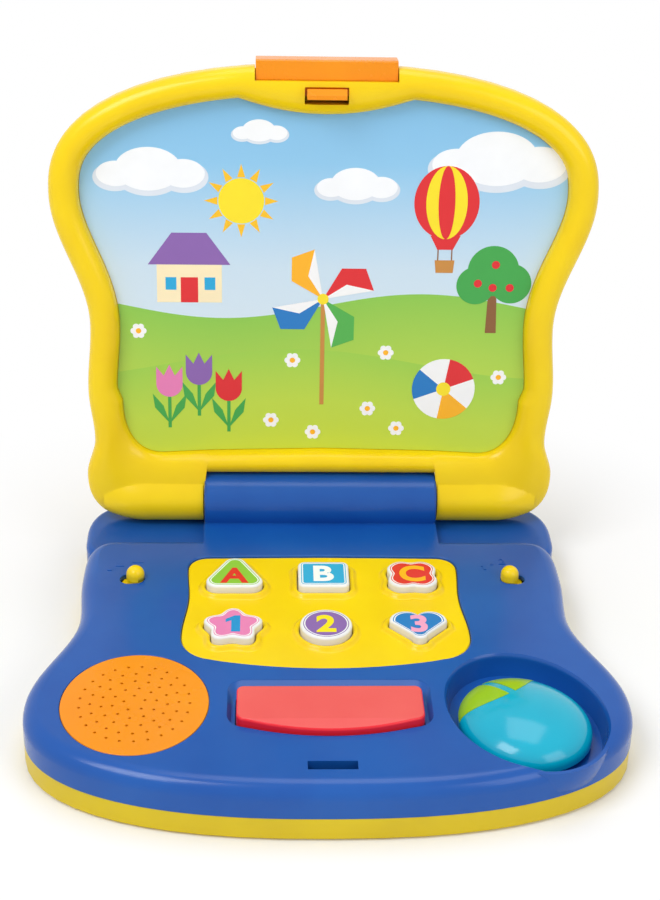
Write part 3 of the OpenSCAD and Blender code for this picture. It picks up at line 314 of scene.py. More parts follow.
def mirrored(half):
    """A closed outline from its right half."""
    return half + [(-x, y) for x, y in reversed(half) if x > 0.01]


def on_base(outline):
    """Reach in front of the hinge turned to y, with the loop still running one way."""
    return [(x, HINGE_Y - reach) for x, reach in reversed(outline)]


def offset(outline, distance):
    """The outline grown by a distance along its own normals."""
    grown = []
    count = len(outline)
    for i, (x, y) in enumerate(outline):
        ax, ay = outline[i - 1]
        bx, by = outline[(i + 1) % count]
        length = math.hypot(bx - ax, by - ay) or 1.0
        grown.append((x + distance * (by - ay) / length, y - distance * (bx - ax) / length))
    return grown


def ring(outline, z):
    return [(x, y, z) for x, y in outline]


# %% Loft and slab
def loft(rings, closed_section=False):
    """A skin over rings of equal length, capped at both ends or closed back on itself."""
    bm = bmesh.new()
    verts = [bm.verts.new(p) for p in rings[0]]
    first = list(verts)
    for points in rings[1:]:
        edges = [bm.edges.get((a, b)) or bm.edges.new((a, b))
                 for a, b in zip(verts, verts[1:] + verts[:1])]
        made = bmesh.ops.extrude_edge_only(bm, edges=edges)["geom"]
        fresh = {g for g in made if isinstance(g, bmesh.types.BMVert)}
        verts = [next(e.other_vert(v) for e in v.link_edges if e.other_vert(v) in fresh)
                 for v in verts]
        for vert, point in zip(verts, points):
            vert.co = point
    ends = [[bm.edges.get((a, b)) for a, b in zip(loop, loop[1:] + loop[:1])]
            for loop in (first, verts)]
    if closed_section:
        bmesh.ops.bridge_loops(bm, edges=ends[0] + ends[1])
    else:
        bm.faces.new(first)
        bm.faces.new(verts)
    bmesh.ops.recalc_face_normals(bm, faces=bm.faces)
    return bm


def rounding(outline, z, radius, steps, grow=0.0):
    """Rings that round an edge over, from the wall at full width to the flat face at z."""
    rings = []
    for k in range(steps + 1):
        a = math.pi / 2 * k / steps
        rings.append(ring(offset(outline, grow - radius * (1 - math.cos(a))),
                          z - radius * (1 - math.sin(a))))
    return rings


def slab(outline, low, high, radius=0.0, steps=6, grow=0.0):
    """A plate of an outline, with its top edge rounded."""
    if radius <= 0:
        return loft([ring(offset(outline, grow), low), ring(offset(outline, grow), high)])
    return loft([ring(offset(outline, grow), low)] + rounding(outline, high, radius, steps, grow))


def box(x0, y0, z0, x1, y1, z1, radius=0.0):
    """A box between two corners, with bevelled edges."""
    bm = bmesh.new()
    bmesh.ops.create_cube(bm, size=1.0)
    bmesh.ops.scale(bm, vec=(x1 - x0, y1 - y0, z1 - z0), verts=bm.verts)
    bmesh.ops.translate(bm, vec=((x0 + x1) / 2, (y0 + y1) / 2, (z0 + z1) / 2), verts=bm.verts)
    if radius > 0:
        bmesh.ops.bevel(bm, geom=list(bm.edges), offset=radius, offset_type="OFFSET", segments=4,
                        profile=0.5, affect="EDGES", material=-1)
    return bm


def barrel(x0, x1, radius):
    """A round bar along X, on the axis."""
    bm = bmesh.new()
    bmesh.ops.create_cone(bm, cap_ends=True, segments=64, radius1=radius, radius2=radius,
                          depth=x1 - x0)
    bmesh.ops.rotate(bm, cent=(0, 0, 0), matrix=Matrix.Rotation(math.pi / 2, 3, "Y"), verts=bm.verts)
    bmesh.ops.translate(bm, vec=((x0 + x1) / 2, 0, 0), verts=bm.verts)
    return bm


def pin(x, y, z0, z1, radius, segments=32):
    """A round post along Z."""
    bm = bmesh.new()
    bmesh.ops.create_cone(bm, cap_ends=True, segments=segments, radius1=radius, radius2=radius,
                          depth=z1 - z0)
    bmesh.ops.translate(bm, vec=(x, y, (z0 + z1) / 2), verts=bm.verts)
    return bm


# %% Objects, cuts and finishing
LID_PLACE = Matrix.Translation((0, HINGE_Y, HINGE_Z)) @ Matrix.Rotation(
    math.pi / 2 - LID_LEAN, 4, "X")
TO_METRES = Matrix.Scale(0.001, 4)


def solid(name, bm):
    """An object from a bmesh, which it uses up."""
    mesh = bpy.data.meshes.new(name)
    bm.to_mesh(mesh)
    bm.free()
    made = bpy.data.objects.new(name, mesh)
    bpy.context.scene.collection.objects.link(made)
    return made


def joined(shapes):
    """Several bmeshes as one, side by side."""
    whole = bmesh.new()
    for shape in shapes:
        mesh = bpy.data.meshes.new("part")
        shape.to_mesh(mesh)
        shape.free()
        whole.from_mesh(mesh)
        bpy.data.meshes.remove(mesh)
    return whole


def settle(made):
    """Applies an object's modifiers to its mesh."""
    bpy.context.view_layer.update()
    graph = bpy.context.evaluated_depsgraph_get()
    mesh = bpy.data.meshes.new_from_object(made.evaluated_get(graph))
    old = made.data
    made.modifiers.clear()
    made.data = mesh
    bpy.data.meshes.remove(old)


def combine(made, operation, *shapes):
    """Cuts shapes from an object, or joins them to it, one Boolean for each."""
    for shape in shapes:
        tool = solid("tool", shape)
        step = made.modifiers.new("step", "BOOLEAN")
        step.operation, step.solver, step.object = operation, "EXACT", tool
        settle(made)
        bpy.data.objects.remove(tool)
    return made


def soften(made, width, segments, angle):
    """Bevels the edges that are sharper than an angle."""
    soft = made.modifiers.new("soft edges", "BEVEL")
    soft.width, soft.segments, soft.limit_method = width, segments, "ANGLE"
    soft.angle_limit = math.radians(angle)
    settle(made)


def finish_piece(made, body, materials, covers=(), on_lid=False, sharp=32, even=True):
    """Turns a piece to metres in its place, shades it, and hands it to its body."""
    mesh = made.data
    mesh.transform(TO_METRES @ (LID_PLACE if on_lid else Matrix.Identity(4)))
    for material in materials:
        mesh.materials.append(material)
    mesh.shade_smooth()
    mesh.set_sharp_from_angle(angle=math.radians(sharp))
    if even:
        shading = made.modifiers.new("even shading", "WEIGHTED_NORMAL")
        shading.keep_sharp = True
    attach(made, body)
    if covers:
        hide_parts(*covers)
    print(made.name, len(mesh.polygons), "faces")
    return made


def dressed(name, node, body, material, bevel, sharp):
    """A merged copy of a CAD node, with flat faces made whole and, with a bevel, softer edges."""
    bm = bmesh.new()
    bm.from_mesh(nodes[node].data)
    bmesh.ops.scale(bm, vec=(1000, 1000, 1000), verts=bm.verts)
    bmesh.ops.remove_doubles(bm, verts=bm.verts, dist=0.001)
    bmesh.ops.dissolve_limit(bm, angle_limit=math.radians(0.5), verts=bm.verts, edges=bm.edges)
    made = solid(name, bm)
    if bevel > 0:
        soften(made, bevel, 3, 40)
    return finish_piece(made, body, [material], [node], sharp=sharp)


# %% [markdown]
# ## The outline of the case
# Seen from above the case swells from square shoulders to a wide round front, and two lobes
# stand behind the deck under the lid's ends. The lid copies the same line, so that the two
# close on each other all round. All of it is drawn as half outlines of (x, reach), where reach
# is the distance in front of the hinge.
# %% Case outlines
FRONT, REAR = 208.0, 14.0
WIDEST, HALF_WIDTH = 150.0, 125.0
WAIST, HALF_WAIST = 87.0, 108.2
SHOULDER, HALF_SHOULDER = 56.0, 110.1
LOBE, HALF_LOBE = 13.0, 111.8
CORNER = 22.0

front_half = ([(HALF_SHOULDER, SHOULDER)]
              + eased(HALF_SHOULDER, SHOULDER, HALF_WAIST, WAIST, 4 * FINE)
              + [(HALF_WAIST, WAIST)]
              + eased(HALF_WAIST, WAIST, HALF_WIDTH, WIDEST, 8 * FINE)
              + power_arc(0, WIDEST, HALF_WIDTH, FRONT - WIDEST, NOSE_POWER, 0, 90, 14 * FINE))
deck_half = power_arc(HALF_SHOULDER - CORNER, SHOULDER, CORNER, SHOULDER - 25, 4, -90, -6,
                      7 * FINE) + front_half
shelf_half = (power_arc(HALF_LOBE - CORNER, LOBE, CORNER, LOBE + REAR, NOSE_POWER, -90, 0, 8 * FINE)
              + power_arc(HALF_LOBE - CORNER, LOBE, CORNER, CORNER, 3.5, 10, 90, 7 * FINE))
deck_line = on_base(mirrored(deck_half))
shelf_line = on_base(mirrored(shelf_half))

pad_half = ([(0, 41.8), (30, 42.2)] + power_arc(52, 52.2, 9.6, 9.6, 2.2, -90, 0, 5 * FINE)
            + eased(61.6, 52.2, 60.4, 76, 3 * FINE) + [(60.4, 76)]
            + eased(60.4, 76, 62.6, 104.5, 3 * FINE)
            + power_arc(46.6, 106, 16, 17.4, 2.1, 0, 80, 6 * FINE)
            + [(x, 129.6 - 6.2 * (x / 49.6) ** 2) for x in (45, 39, 33, 27, 21, 15, 9, 3, 0)])
pad_line = on_base(mirrored(pad_half))

BAR_AT, BAR_HALF, BAR_DEEP, BAR_BOW = 146.8, 38.0, 28.0, 5.5


def bar_half(corner, segments):
    """Half the bar's outline: a straight rear edge and a bowed front."""
    near = BAR_AT + BAR_DEEP - BAR_BOW
    side = BAR_HALF - 4
    return ([(0, BAR_AT)]
            + power_arc(BAR_HALF - corner, BAR_AT + corner, corner, corner, 2, -90, 0, segments)
            + power_arc(side, near - 4, 4, 4, 2, 0, 72, segments)
            + [(side * (1 - i / 12), BAR_AT + BAR_DEEP - BAR_BOW * (1 - i / 12) ** 2)
               for i in range(1, 13)])


bar_line = on_base(mirrored(bar_half(3, 8)))
print("deck outline points:", len(deck_line))

# %% [markdown]
# ## The blue deck
# The deck is one thin shell with a wide, soft front edge that carries the long highlight. It is
# lofted from its outline, joined with the low rear shelf under the hinge, and hollowed. Then
# the openings are cut with shaped tools, each a loft that flares at the top, so that every
# opening has the small radius a mould gives it. Booleans are right here because the openings
# are many and all lie in flat faces.
# %% Deck shell
TRAY_TOP = 11.15
WALL = 2.2
DECK_ROUND = 7.0
SHELF_Z = 21.4
DECK_IN = DECK_Z - WALL
BARREL_R, BARREL_HALF = 14.0, 55.5
# The block between the lid's two side barrels is hollow up to one reach, and is cut away behind
# another to make room for the middle barrel
BLOCK_REACH, BARREL_ROOM = 16.9, 12.45
STOP_WIDE, STOP_DEEP, STOP_TOP = 28, 2.8, 32.4


def flared(outline, low, high, grow, lip, steps=4):
    """A cutting tool that widens by a quarter circle just under the face at high."""
    rings = [ring(offset(outline, grow), low)]
    for k in range(steps + 1):
        a = math.pi / 2 * k / steps
        rings.append(ring(offset(outline, grow + lip * (1 - math.cos(a))),
                          high - lip * (1 - math.sin(a))))
    rings.append(ring(offset(outline, grow + lip), high + 3))
    return loft(rings)


deck = solid("deck_shell", slab(deck_line, TRAY_TOP, DECK_Z, DECK_ROUND, 12))
combine(deck, "UNION",
        slab(shelf_line, TRAY_TOP, SHELF_Z, 3.0, 6),
        box(-BARREL_HALF, 57, TRAY_TOP, BARREL_HALF, HINGE_Y + 13.5, DECK_Z),
        *(box(x, HINGE_Y + REAR - STOP_DEEP, 19, x + STOP_WIDE, HINGE_Y + REAR, STOP_TOP, 0.8)
          for x in (60, -60 - STOP_WIDE)))
combine(deck, "DIFFERENCE",
        slab(deck_line, 0, DECK_IN, 5.0, 5, -WALL),
        slab(shelf_line, 0, SHELF_Z - WALL - 1, 1.5, 3, -WALL),
        box(WALL - BARREL_HALF, 52, 0, BARREL_HALF - WALL, HINGE_Y - BLOCK_REACH, DECK_IN),
        box(-BARREL_HALF - 0.1, HINGE_Y - BARREL_ROOM, 20.0, BARREL_HALF + 0.1, HINGE_Y + 40, 60))

# %% Wells of the bar and the mouse
BAR_FLOOR = 23.4
MOUSE_X, MOUSE_Y = 79.0, HINGE_Y - 162.0
WELL_X, WELL_Y = MOUSE_X + 1.3, HINGE_Y - 158.0
WELL_A, WELL_B, WELL_FLOOR = 38.7, 31.1, 15.6
WELL_TURN = 21
EGG_POINTS = 96
MOUSE_HOLE_R = 6.0


def egg(a, b, x, y, turn=0):
    """An oval about a point with its long axis along Y, turned by some degrees."""
    points = []
    c, s = math.cos(math.radians(turn)), math.sin(math.radians(turn))
    for i in range(EGG_POINTS):
        t = 2 * math.pi * i / EGG_POINTS
        px, py = b * math.cos(t), a * math.sin(t)
        points.append((x + px * c - py * s, y + px * s + py * c))
    return points


def well_rings(low, high, grow, lip=0.0):
    """Rings of the mouse well: a rounded foot, a sloping wall and a soft lip."""
    rings = []
    for k in range(15):
        t = k / 14
        inside = 1.6 * (1 - t) ** 2 - lip * max(0.0, (t - 0.8) / 0.2) ** 2
        line = egg(WELL_A - inside + grow, WELL_B - inside + grow, WELL_X, WELL_Y, WELL_TURN)
        rings.append(ring(line, low + (high - low) * t))
    return rings


def scooped(grow, rear, front):
    """The bar's outline with its own margins at the sides, the rear and the front."""
    near = HINGE_Y - BAR_AT - BAR_DEEP
    stretched = []
    for x, y in offset(bar_line, grow):
        t = (y - near) / BAR_DEEP
        stretched.append((x, y + (rear - grow) * t + (grow - front) * (1 - t)))
    return stretched


# (grow at the sides, at the rear, at the front, height) from the pocket's floor up past the deck
POCKET = [(1.2, 1.6, 0.5, BAR_FLOOR), (2.2, 3.4, 0.55, BAR_FLOOR + 0.3),
          (3.4, 7.4, 0.6, DECK_Z - 0.5), (3.8, 8.2, 0.8, DECK_Z - 0.1), (4.2, 8.7, 1.1, DECK_Z + 3)]
combine(deck, "UNION",
        slab(scooped(3.8 + WALL, 8.2 + WALL, 0.8 + WALL), BAR_FLOOR - WALL, DECK_Z - 1),
        loft(well_rings(WELL_FLOOR - WALL, DECK_Z - 2.0, WALL - 0.6)))
combine(deck, "DIFFERENCE",
        loft([ring(scooped(*margins), z) for *margins, z in POCKET]),
        slab(bar_line, 10, 30, grow=0.45),
        loft(well_rings(WELL_FLOOR, DECK_Z + 0.02, 0.0, lip=0.9)
             + [ring(egg(WELL_A + 1, WELL_B + 1, WELL_X, WELL_Y, WELL_TURN), DECK_Z + 4)]),
        pin(MOUSE_X, MOUSE_Y, 5, 30, MOUSE_HOLE_R))

# %% Openings for the plate, the grille, the hook and the switches
GRILLE_X, GRILLE_Y = -79.4, HINGE_Y - 154.0
GRILLE_R, SOUND_HOLE_R = 30.2, 26.0
SWITCH_X, SWITCH_REACH, SWITCH_ARM, SWITCH_SWING = 85.3, 61.0, 14.0, 6.0
SWITCH_SLOT_R = 4.0
# The hook's slot and the skirt round it: half widths, reaches, and the skirt's two heights
SLOT_HALF, SKIRT_HALF = 9.8, 11.3
SLOT_FRONT, SLOT_REAR, SKIRT_REAR = 196.35, 191.2, 189.8
SKIRT_FRONT, SKIRT_LOW, SKIRT_TOP = 196.2, 17, DECK_IN + 0.4
grille_line = egg(GRILLE_R + 3.2, GRILLE_R, GRILLE_X, GRILLE_Y)


def arc_slot(side):
    """The outline of a curved slot round a switch's pivot, with its inner end at rest."""
    middle = 90 - side * SWITCH_SWING
    px, py = side * SWITCH_X, HINGE_Y - SWITCH_REACH - SWITCH_ARM
    points = []
    for start in (middle - SWITCH_SWING, middle + SWITCH_SWING):
        cx = px + SWITCH_ARM * math.cos(math.radians(start))
        cy = py + SWITCH_ARM * math.sin(math.radians(start))
        turn = start - 180 if start < middle else start
        for i in range(11):
            a = math.radians(turn + 18 * i)
            points.append((cx + SWITCH_SLOT_R * math.cos(a), cy + SWITCH_SLOT_R * math.sin(a)))
    return points


combine(deck, "DIFFERENCE",
        flared(pad_line, 5, DECK_Z, 0.22, 0.7),
        flared(grille_line, DECK_Z - 1.4, DECK_Z, 0.2, 0.35),
        pin(GRILLE_X, GRILLE_Y, 5, 30, SOUND_HOLE_R, 64),
        box(-SLOT_HALF, HINGE_Y - SLOT_FRONT, 10, SLOT_HALF, HINGE_Y - SLOT_REAR, 40),
        *(flared(arc_slot(side), 5, DECK_Z, 0, 0.5) for side in (-1, 1)))
# A short skirt behind and beside the hook's slot closes the view into the case
combine(deck, "UNION",
        *(box(x0, HINGE_Y - reach, SKIRT_LOW, x1, HINGE_Y - SKIRT_REAR, SKIRT_TOP)
          for x0, x1, reach in ((-SKIRT_HALF, SKIRT_HALF, SLOT_REAR),
                                (-SKIRT_HALF, -SLOT_HALF, SKIRT_FRONT),
                                (SLOT_HALF, SKIRT_HALF, SKIRT_FRONT))))
finish_piece(deck, "base", [blue_abs], ["base_top"], sharp=38)

# %% [markdown]
# ## The speaker grille
# A thin orange disc lies flush in the deck. Its five rings of small moulded holes let the sound
# out. The disc is a low loft with a tiny edge radius, and all the holes are cut in one go by
# one tool made of many short posts.
# %% Grille
HOLE_R = 0.62
RING_STEP = 4.5
RING_STRETCH = 1.106
posts = []
for ring_number in range(1, 6):
    for i in range(5 * ring_number):
        angle = math.radians(360 * i / (5 * ring_number) + 23 * ring_number)
        posts.append(pin(GRILLE_X + RING_STEP * ring_number * math.cos(angle),
                         GRILLE_Y + RING_STEP * ring_number * math.sin(angle) * RING_STRETCH,
                         20, 30, HOLE_R, 12))
grille = solid("grille_disc", slab(grille_line, DECK_Z - 1.35, DECK_Z, 0.35, 4))
combine(grille, "DIFFERENCE", joined(posts))
finish_piece(grille, "base", [orange_abs], ["speaker_grille"])

# %% [markdown]
# ## The keypad
# The yellow plate lies just under the deck, and a soft raised collar follows each key. The
# collars keep a finger from slipping off. The keys are white caps in six shapes with a wide
# rounding on top. Each shape is a closed curve with a grow value, so the same curve gives the
# hole, the collar, the cap and every line of its print.
# %% Key shapes
KEY_R = 11.3
PITCH_X, PITCH_Y, ROW_REACH = 40.3, 40.0, 63.0
KEY_POINTS = 96


def round_corners(corners, radius, grow):
    """A convex polygon whose corners are arcs, grown outwards."""
    points = []
    count = len(corners)
    for i, (x, y) in enumerate(corners):
        ax, ay = corners[i - 1]
        bx, by = corners[(i + 1) % count]
        start = math.atan2(-(x - ax), y - ay)
        end = math.atan2(-(bx - x), by - y)
        while end < start:
            end += 2 * math.pi
        steps = KEY_POINTS // count
        for k in range(steps):
            a = start + (end - start) * k / (steps - 1)
            points.append((x + (radius + grow) * math.cos(a), y + (radius + grow) * math.sin(a)))
    return points


def heart_outline(grow):
    """Two round lobes that meet in a notch, with straight sides down to a round point.

    It grows by its radii, but shrinks as a whole, because smaller lobes would come apart.
    """
    scale = 1 + min(0.0, grow) / (KEY_R * 1.05)
    grow = max(0.0, grow)
    lobe_x, lobe_y, lobe_r = KEY_R * 0.5, KEY_R * 0.27, KEY_R * 0.61
    point_y, point_r = -KEY_R * 0.62, KEY_R * 0.3
    across, along = lobe_x, lobe_y - point_y
    side = math.atan2(along, across) - math.acos((lobe_r - point_r) / math.hypot(across, along))
    notch = math.acos(-lobe_x / (lobe_r + grow))
    turns = [(lobe_x, lobe_y, lobe_r, side, notch),
             (-lobe_x, lobe_y, lobe_r, math.pi - notch, math.pi - side),
             (0, point_y, point_r, math.pi - side, 2 * math.pi + side)]
    points = []
    for x, y, r, start, end in turns:
        for k in range(KEY_POINTS // 3):
            a = start + (end - start) * (k + 0.5) / (KEY_POINTS // 3)
            points.append((scale * (x + (r + grow) * math.cos(a)),
                           scale * (y + (r + grow) * math.sin(a))))
    return points


def key_outline(kind, grow=0.0):
    """The outline of one kind of key, about its own middle."""
    if kind == "square":
        a, b = KEY_R * 1.02 - 3.2, KEY_R * 0.91 - 3.2
        return round_corners([(a, -b), (a, b), (-a, b), (-a, -b)], 3.2, grow)
    if kind == "triangle":
        return round_corners([(KEY_R * 0.66, -KEY_R * 0.48), (0, KEY_R * 0.74),
                              (-KEY_R * 0.66, -KEY_R * 0.48)], 5.2, grow)
    if kind == "heart":
        return heart_outline(grow)
    points = []
    for i in range(KEY_POINTS):
        t = 2 * math.pi * i / KEY_POINTS
        wide, deep = 1.0, 1.0
        if kind == "round":
            r = KEY_R
        elif kind == "lobes":
            r = KEY_R * (1.02 - 0.11 * math.cos(4 * t) - 0.02 * math.cos(8 * t))
            wide, deep = 1.02, 0.98
        else:
            r = KEY_R * (0.98 + 0.13 * math.sin(5 * t))
            wide = 1.05
        points.append(((r + grow) * wide * math.cos(t), (r + grow) * deep * math.sin(t)))
    return points


def moved(points, x, y):
    return [(px + x, py + y) for px, py in points]


KEYS = {"a": ("triangle", 0, 0), "b": ("square", 1, 0), "c": ("lobes", 2, 0),
        "1": ("star", 0, 1), "2": ("round", 1, 1), "3": ("heart", 2, 1)}


def key_place(column, row):
    return (column - 1) * PITCH_X, HINGE_Y - ROW_REACH - row * PITCH_Y


# %% Keypad plate with its collars
PLATE_Z = 25.2
PLATE_LOW = 22.2
# (grow, height over the plate) of a collar's section, from its foot outside to its wall inside
COLLAR = [(4.4, -0.6), (4.2, 0.02), (3.7, 0.14), (3.2, 0.5), (2.8, 1.1), (2.35, 1.6),
          (1.8, 1.88), (1.2, 1.8), (0.7, 1.45), (0.4, 0.9), (0.4, -0.6)]
plate = solid("keypad_plate_shell", slab(pad_line, PLATE_LOW, PLATE_Z, 0.5, 4, -0.02))
holes, collars = [], []
for kind, column, row in KEYS.values():
    x, y = key_place(column, row)
    holes.append(slab(moved(key_outline(kind, 0.45), x, y), 10, 40))
    collars.append(loft([ring(moved(key_outline(kind, grow), x, y), PLATE_Z + high)
                         for grow, high in COLLAR], closed_section=True))
combine(plate, "DIFFERENCE", joined(holes))
combine(plate, "UNION", joined(collars))
finish_piece(plate, "base", [yellow_abs], ["keypad_plate"], sharp=45)

# %% Key caps and their prints
KEY_TOP = 30.0
CAP_ROUND = 1.1
# letter, field colour, letter colour
PRINTS = {"a": ("A", "lime", "red"), "b": ("B", "cyan", "white"), "c": ("C", "red", "amber"),
          "1": ("1", "pink", "blue"), "2": ("2", "violet", "yellow"), "3": ("3", "azure", "rose")}
CAP_FLANGE = 1.4
CAP_LOW = PLATE_LOW - 0.1 - CAP_FLANGE
LETTER_BOLD = 0.62


def letter_shape(text, size, x, y, z, thick, bold):
    """A letter as a low solid, centred on a point. bold swells its strokes."""
    curve = bpy.data.curves.new("letter", "FONT")
    curve.body, curve.size = text, size
    curve.align_x, curve.align_y = "CENTER", "CENTER"
    curve.extrude, curve.offset, curve.resolution_u = thick / 2, bold, 6
    holder = bpy.data.objects.new("letter", curve)
    bpy.context.scene.collection.objects.link(holder)
    bpy.context.view_layer.update()
    graph = bpy.context.evaluated_depsgraph_get()
    mesh = bpy.data.meshes.new_from_object(holder.evaluated_get(graph))
    bm = bmesh.new()
    bm.from_mesh(mesh)
    bpy.data.objects.remove(holder)
    bpy.data.meshes.remove(mesh)
    bmesh.ops.remove_doubles(bm, verts=bm.verts, dist=0.0005)
    xs = [v.co.x for v in bm.verts]
    ys = [v.co.y for v in bm.verts]
    middle = Vector(((min(xs) + max(xs)) / 2, (min(ys) + max(ys)) / 2, 0))
    bmesh.ops.translate(bm, vec=Vector((x, y, z + thick / 2)) - middle, verts=bm.verts)
    return bm


def figure_one(x, y, z, thick, size):
    """A plain figure one: a stem with a flag and no foot."""
    stem = size * 0.115
    half = size * 0.36
    flag = [(-stem, -half), (stem, -half), (stem, half), (-stem * 0.3, half),
            (-size * 0.26, size * 0.2), (-size * 0.26, size * 0.06), (-stem, size * 0.14)]
    return slab([(px + x + stem * 0.6, py + y) for px, py in flag], z, z + thick)


def painted(bm, number):
    """Gives every face of a bmesh one material number."""
    for face in bm.faces:
        face.material_index = number
    return bm


for key, (kind, column, row) in KEYS.items():
    x, y = key_place(column, row)
    name = "key_" + key
    outline = moved(key_outline(kind), x, y)
    flange = moved(key_outline(kind, 1.7), x, y)
    rings = [ring(flange, CAP_LOW), ring(flange, CAP_LOW + CAP_FLANGE),
             ring(outline, CAP_LOW + CAP_FLANGE)]
    for k in range(7):
        a = math.pi / 2 * k / 6
        rings.append(ring(moved(key_outline(kind, -CAP_ROUND * (1 - math.cos(a))), x, y),
                          KEY_TOP - CAP_ROUND * (1 - math.sin(a))))
    cap = solid(name + "_cap", joined([loft(rings), pin(x, y, 18.45, CAP_LOW + 0.5, 2.6)]))
    finish_piece(cap, name, [white_abs], [name], sharp=50)
    text, field, stroke = PRINTS[key]
    layers = [painted(slab(moved(key_outline(kind, grow), x, y), KEY_TOP - 0.1, KEY_TOP + lift),
                      number)
              for grow, lift, number in ((-1.35, 0.02, 0), (-1.75, 0.04, 1), (-2.25, 0.06, 0))]
    size, lower = (16.5, -1.6) if kind == "triangle" else (17.0, 0.0)
    mark = (figure_one(x, y, KEY_TOP + 0.02, 0.08, size) if text == "1"
            else letter_shape(text, size, x, y + lower, KEY_TOP + 0.02, 0.08, LETTER_BOLD))
    layers.append(painted(mark, 2))
    print_top = solid(name + "_print", joined(layers))
    finish_piece(print_top, name,
                 [ink(field), ink("white"), ink(stroke)], even=False)

# %% [markdown]
# ## Raised marks by the switches
# Each switch has plain marks in the mould: three level bars at the left one, and a 1, a bar and
# a 2 at the right one. They stand a hair above the deck in the same blue, so that only their
# edges catch the light.
# %% Switch marks
MARK_HIGH = 0.3
marks = [box(x - half, HINGE_Y - reach - 0.5, DECK_Z - 0.2, x + half, HINGE_Y - reach + 0.5,
             DECK_Z + MARK_HIGH, 0.15)
         for x, reach, half in ((-97.5, 54, 1.2), (-93, 50.5, 1.9), (-85, 47.5, 2.6),
                                (78.5, 49.0, 0.8))]
marks.append(figure_one(74.5, HINGE_Y - 51.5, DECK_Z - 0.2, 0.2 + MARK_HIGH, 6.0))
marks.append(letter_shape("2", 6.5, 83.5, HINGE_Y - 46.5, DECK_Z - 0.2, 0.2 + MARK_HIGH, 0.1))
marks_piece = solid("switch_marks", joined(marks))
finish_piece(marks_piece, "base", [blue_abs], even=False)

# %% [markdown]
# ## The red bar
# The bar is a wide moulded button in a pocket with sloping sides. Its top is rougher than its glossy
# walls and is painted a paler red, a painted highlight for the light that falls on the top. It is flat
# at the rear and falls away in a shallow lens along the bowed front. The lens is made by cutting the
# top face along a straight line and lowering its front border.
# %% Bar
BAR_TOP = 29.6
LENS_FALL = 0.16
bar = slab(bar_line, 20.0, BAR_TOP, 1.2, 6)
crease_y = HINGE_Y - (BAR_AT + BAR_DEEP - BAR_BOW - 0.5)
bmesh.ops.bisect_plane(bar, geom=list(bar.verts) + list(bar.edges) + list(bar.faces),
                       plane_co=(0, crease_y, 0), plane_no=(0, 1, 0), dist=0.001)
for vert in bar.verts:
    if vert.co.z > BAR_TOP - 1.3 and vert.co.y < crease_y:
        vert.co.z -= LENS_FALL * (crease_y - vert.co.y)
# Faces that look up take the paler red: a painted highlight for the light on the bar's top
for face in bar.faces:
    if face.normal.z > 0.85 and face.calc_center_median().z > BAR_TOP - 1.6:
        face.material_index = 1
bar_piece = solid("bar_cap", bar)
finish_piece(bar_piece, "bar", [red_abs, red_painted_lit_top], ["space_bar"], sharp=24)

# %% [markdown]
# ## The mouse
# The mouse is a glossy egg that presses down on one stem, with two lime pads as its buttons. It
# starts from a sphere, is stretched to the egg, and cut flat below. The pads are the same skin,
# copied, kept only where a button is, and lifted by a hair so that a fine line shows round them.
# %% Mouse
MOUSE_A, MOUSE_B, MOUSE_TOP = 28.8, 26.3, 33.0
MOUSE_LOW = WELL_FLOOR + 2.5
MOUSE_TURN = 36.0
MOUSE_WALL = 2


def egg_dome(grow):
    """The mouse's upper half: a stretched half sphere on a short straight wall."""
    bm = bmesh.new()
    bmesh.ops.create_uvsphere(bm, u_segments=EGG_POINTS, v_segments=48, radius=1.0)
    bmesh.ops.bisect_plane(bm, geom=list(bm.verts) + list(bm.edges) + list(bm.faces),
                           plane_co=(0, 0, -0.001), plane_no=(0, 0, -1), dist=0.0001,
                           clear_outer=True)
    for vert in bm.verts:
        x, y, z = vert.co
        flat = min(1.0, z * 0.985 + 0.015 * z ** 8)
        vert.co = (x * (MOUSE_B + grow) * (1 - 0.05 * y), y * (MOUSE_A + grow),
                   MOUSE_LOW + MOUSE_WALL
                   + max(flat, 0.0) * (MOUSE_TOP + grow - MOUSE_LOW - MOUSE_WALL))
    rim = [e for e in bm.edges if e.is_boundary]
    made = bmesh.ops.extrude_edge_only(bm, edges=rim)["geom"]
    lower = [g for g in made if isinstance(g, bmesh.types.BMVert)]
    for vert in lower:
        vert.co.z = MOUSE_LOW
    bmesh.ops.holes_fill(bm, edges=[e for e in bm.edges if e.is_boundary], sides=0)
    bmesh.ops.recalc_face_normals(bm, faces=bm.faces)
    return bm


def mouse_set(bm):
    """Turns and moves a piece of the mouse to its place."""
    bmesh.ops.rotate(bm, cent=(0, 0, 0), matrix=Matrix.Rotation(math.radians(MOUSE_TURN), 3, "Z"),
                     verts=bm.verts)
    bmesh.ops.translate(bm, vec=(MOUSE_X, MOUSE_Y, 0), verts=bm.verts)
    return bm


mouse = solid("mouse_body", mouse_set(egg_dome(-0.25)))
combine(mouse, "UNION", pin(MOUSE_X, MOUSE_Y, 12.4, 24, 5.5))
finish_piece(mouse, "mouse", [cyan_abs], ["mouse_shell"], sharp=60)
PAD_STRIP, PAD_LINE, PAD_CURL = 1.7, 8.1, 0.018
pads = []
for side in (-1, 1):
    pad = solid("pad", egg_dome(0.0))
    rear = [(side * x, PAD_LINE + PAD_CURL * x * x) for x in (PAD_STRIP, 5, 9, 13, 17, 21, 25, 30)]
    room = rear + [(side * 30, 40), (side * PAD_STRIP, 40)]
    combine(pad, "INTERSECT", slab(room, MOUSE_LOW + 3.2, 40))
    shape = bmesh.new()
    shape.from_mesh(pad.data)
    bpy.data.objects.remove(pad)
    pads.append(shape)
pad_piece = solid("mouse_buttons", mouse_set(joined(pads)))
soften(pad_piece, 0.3, 2, 50)
finish_piece(pad_piece, "mouse", [lime_abs], ["mouse_pads"], sharp=50)

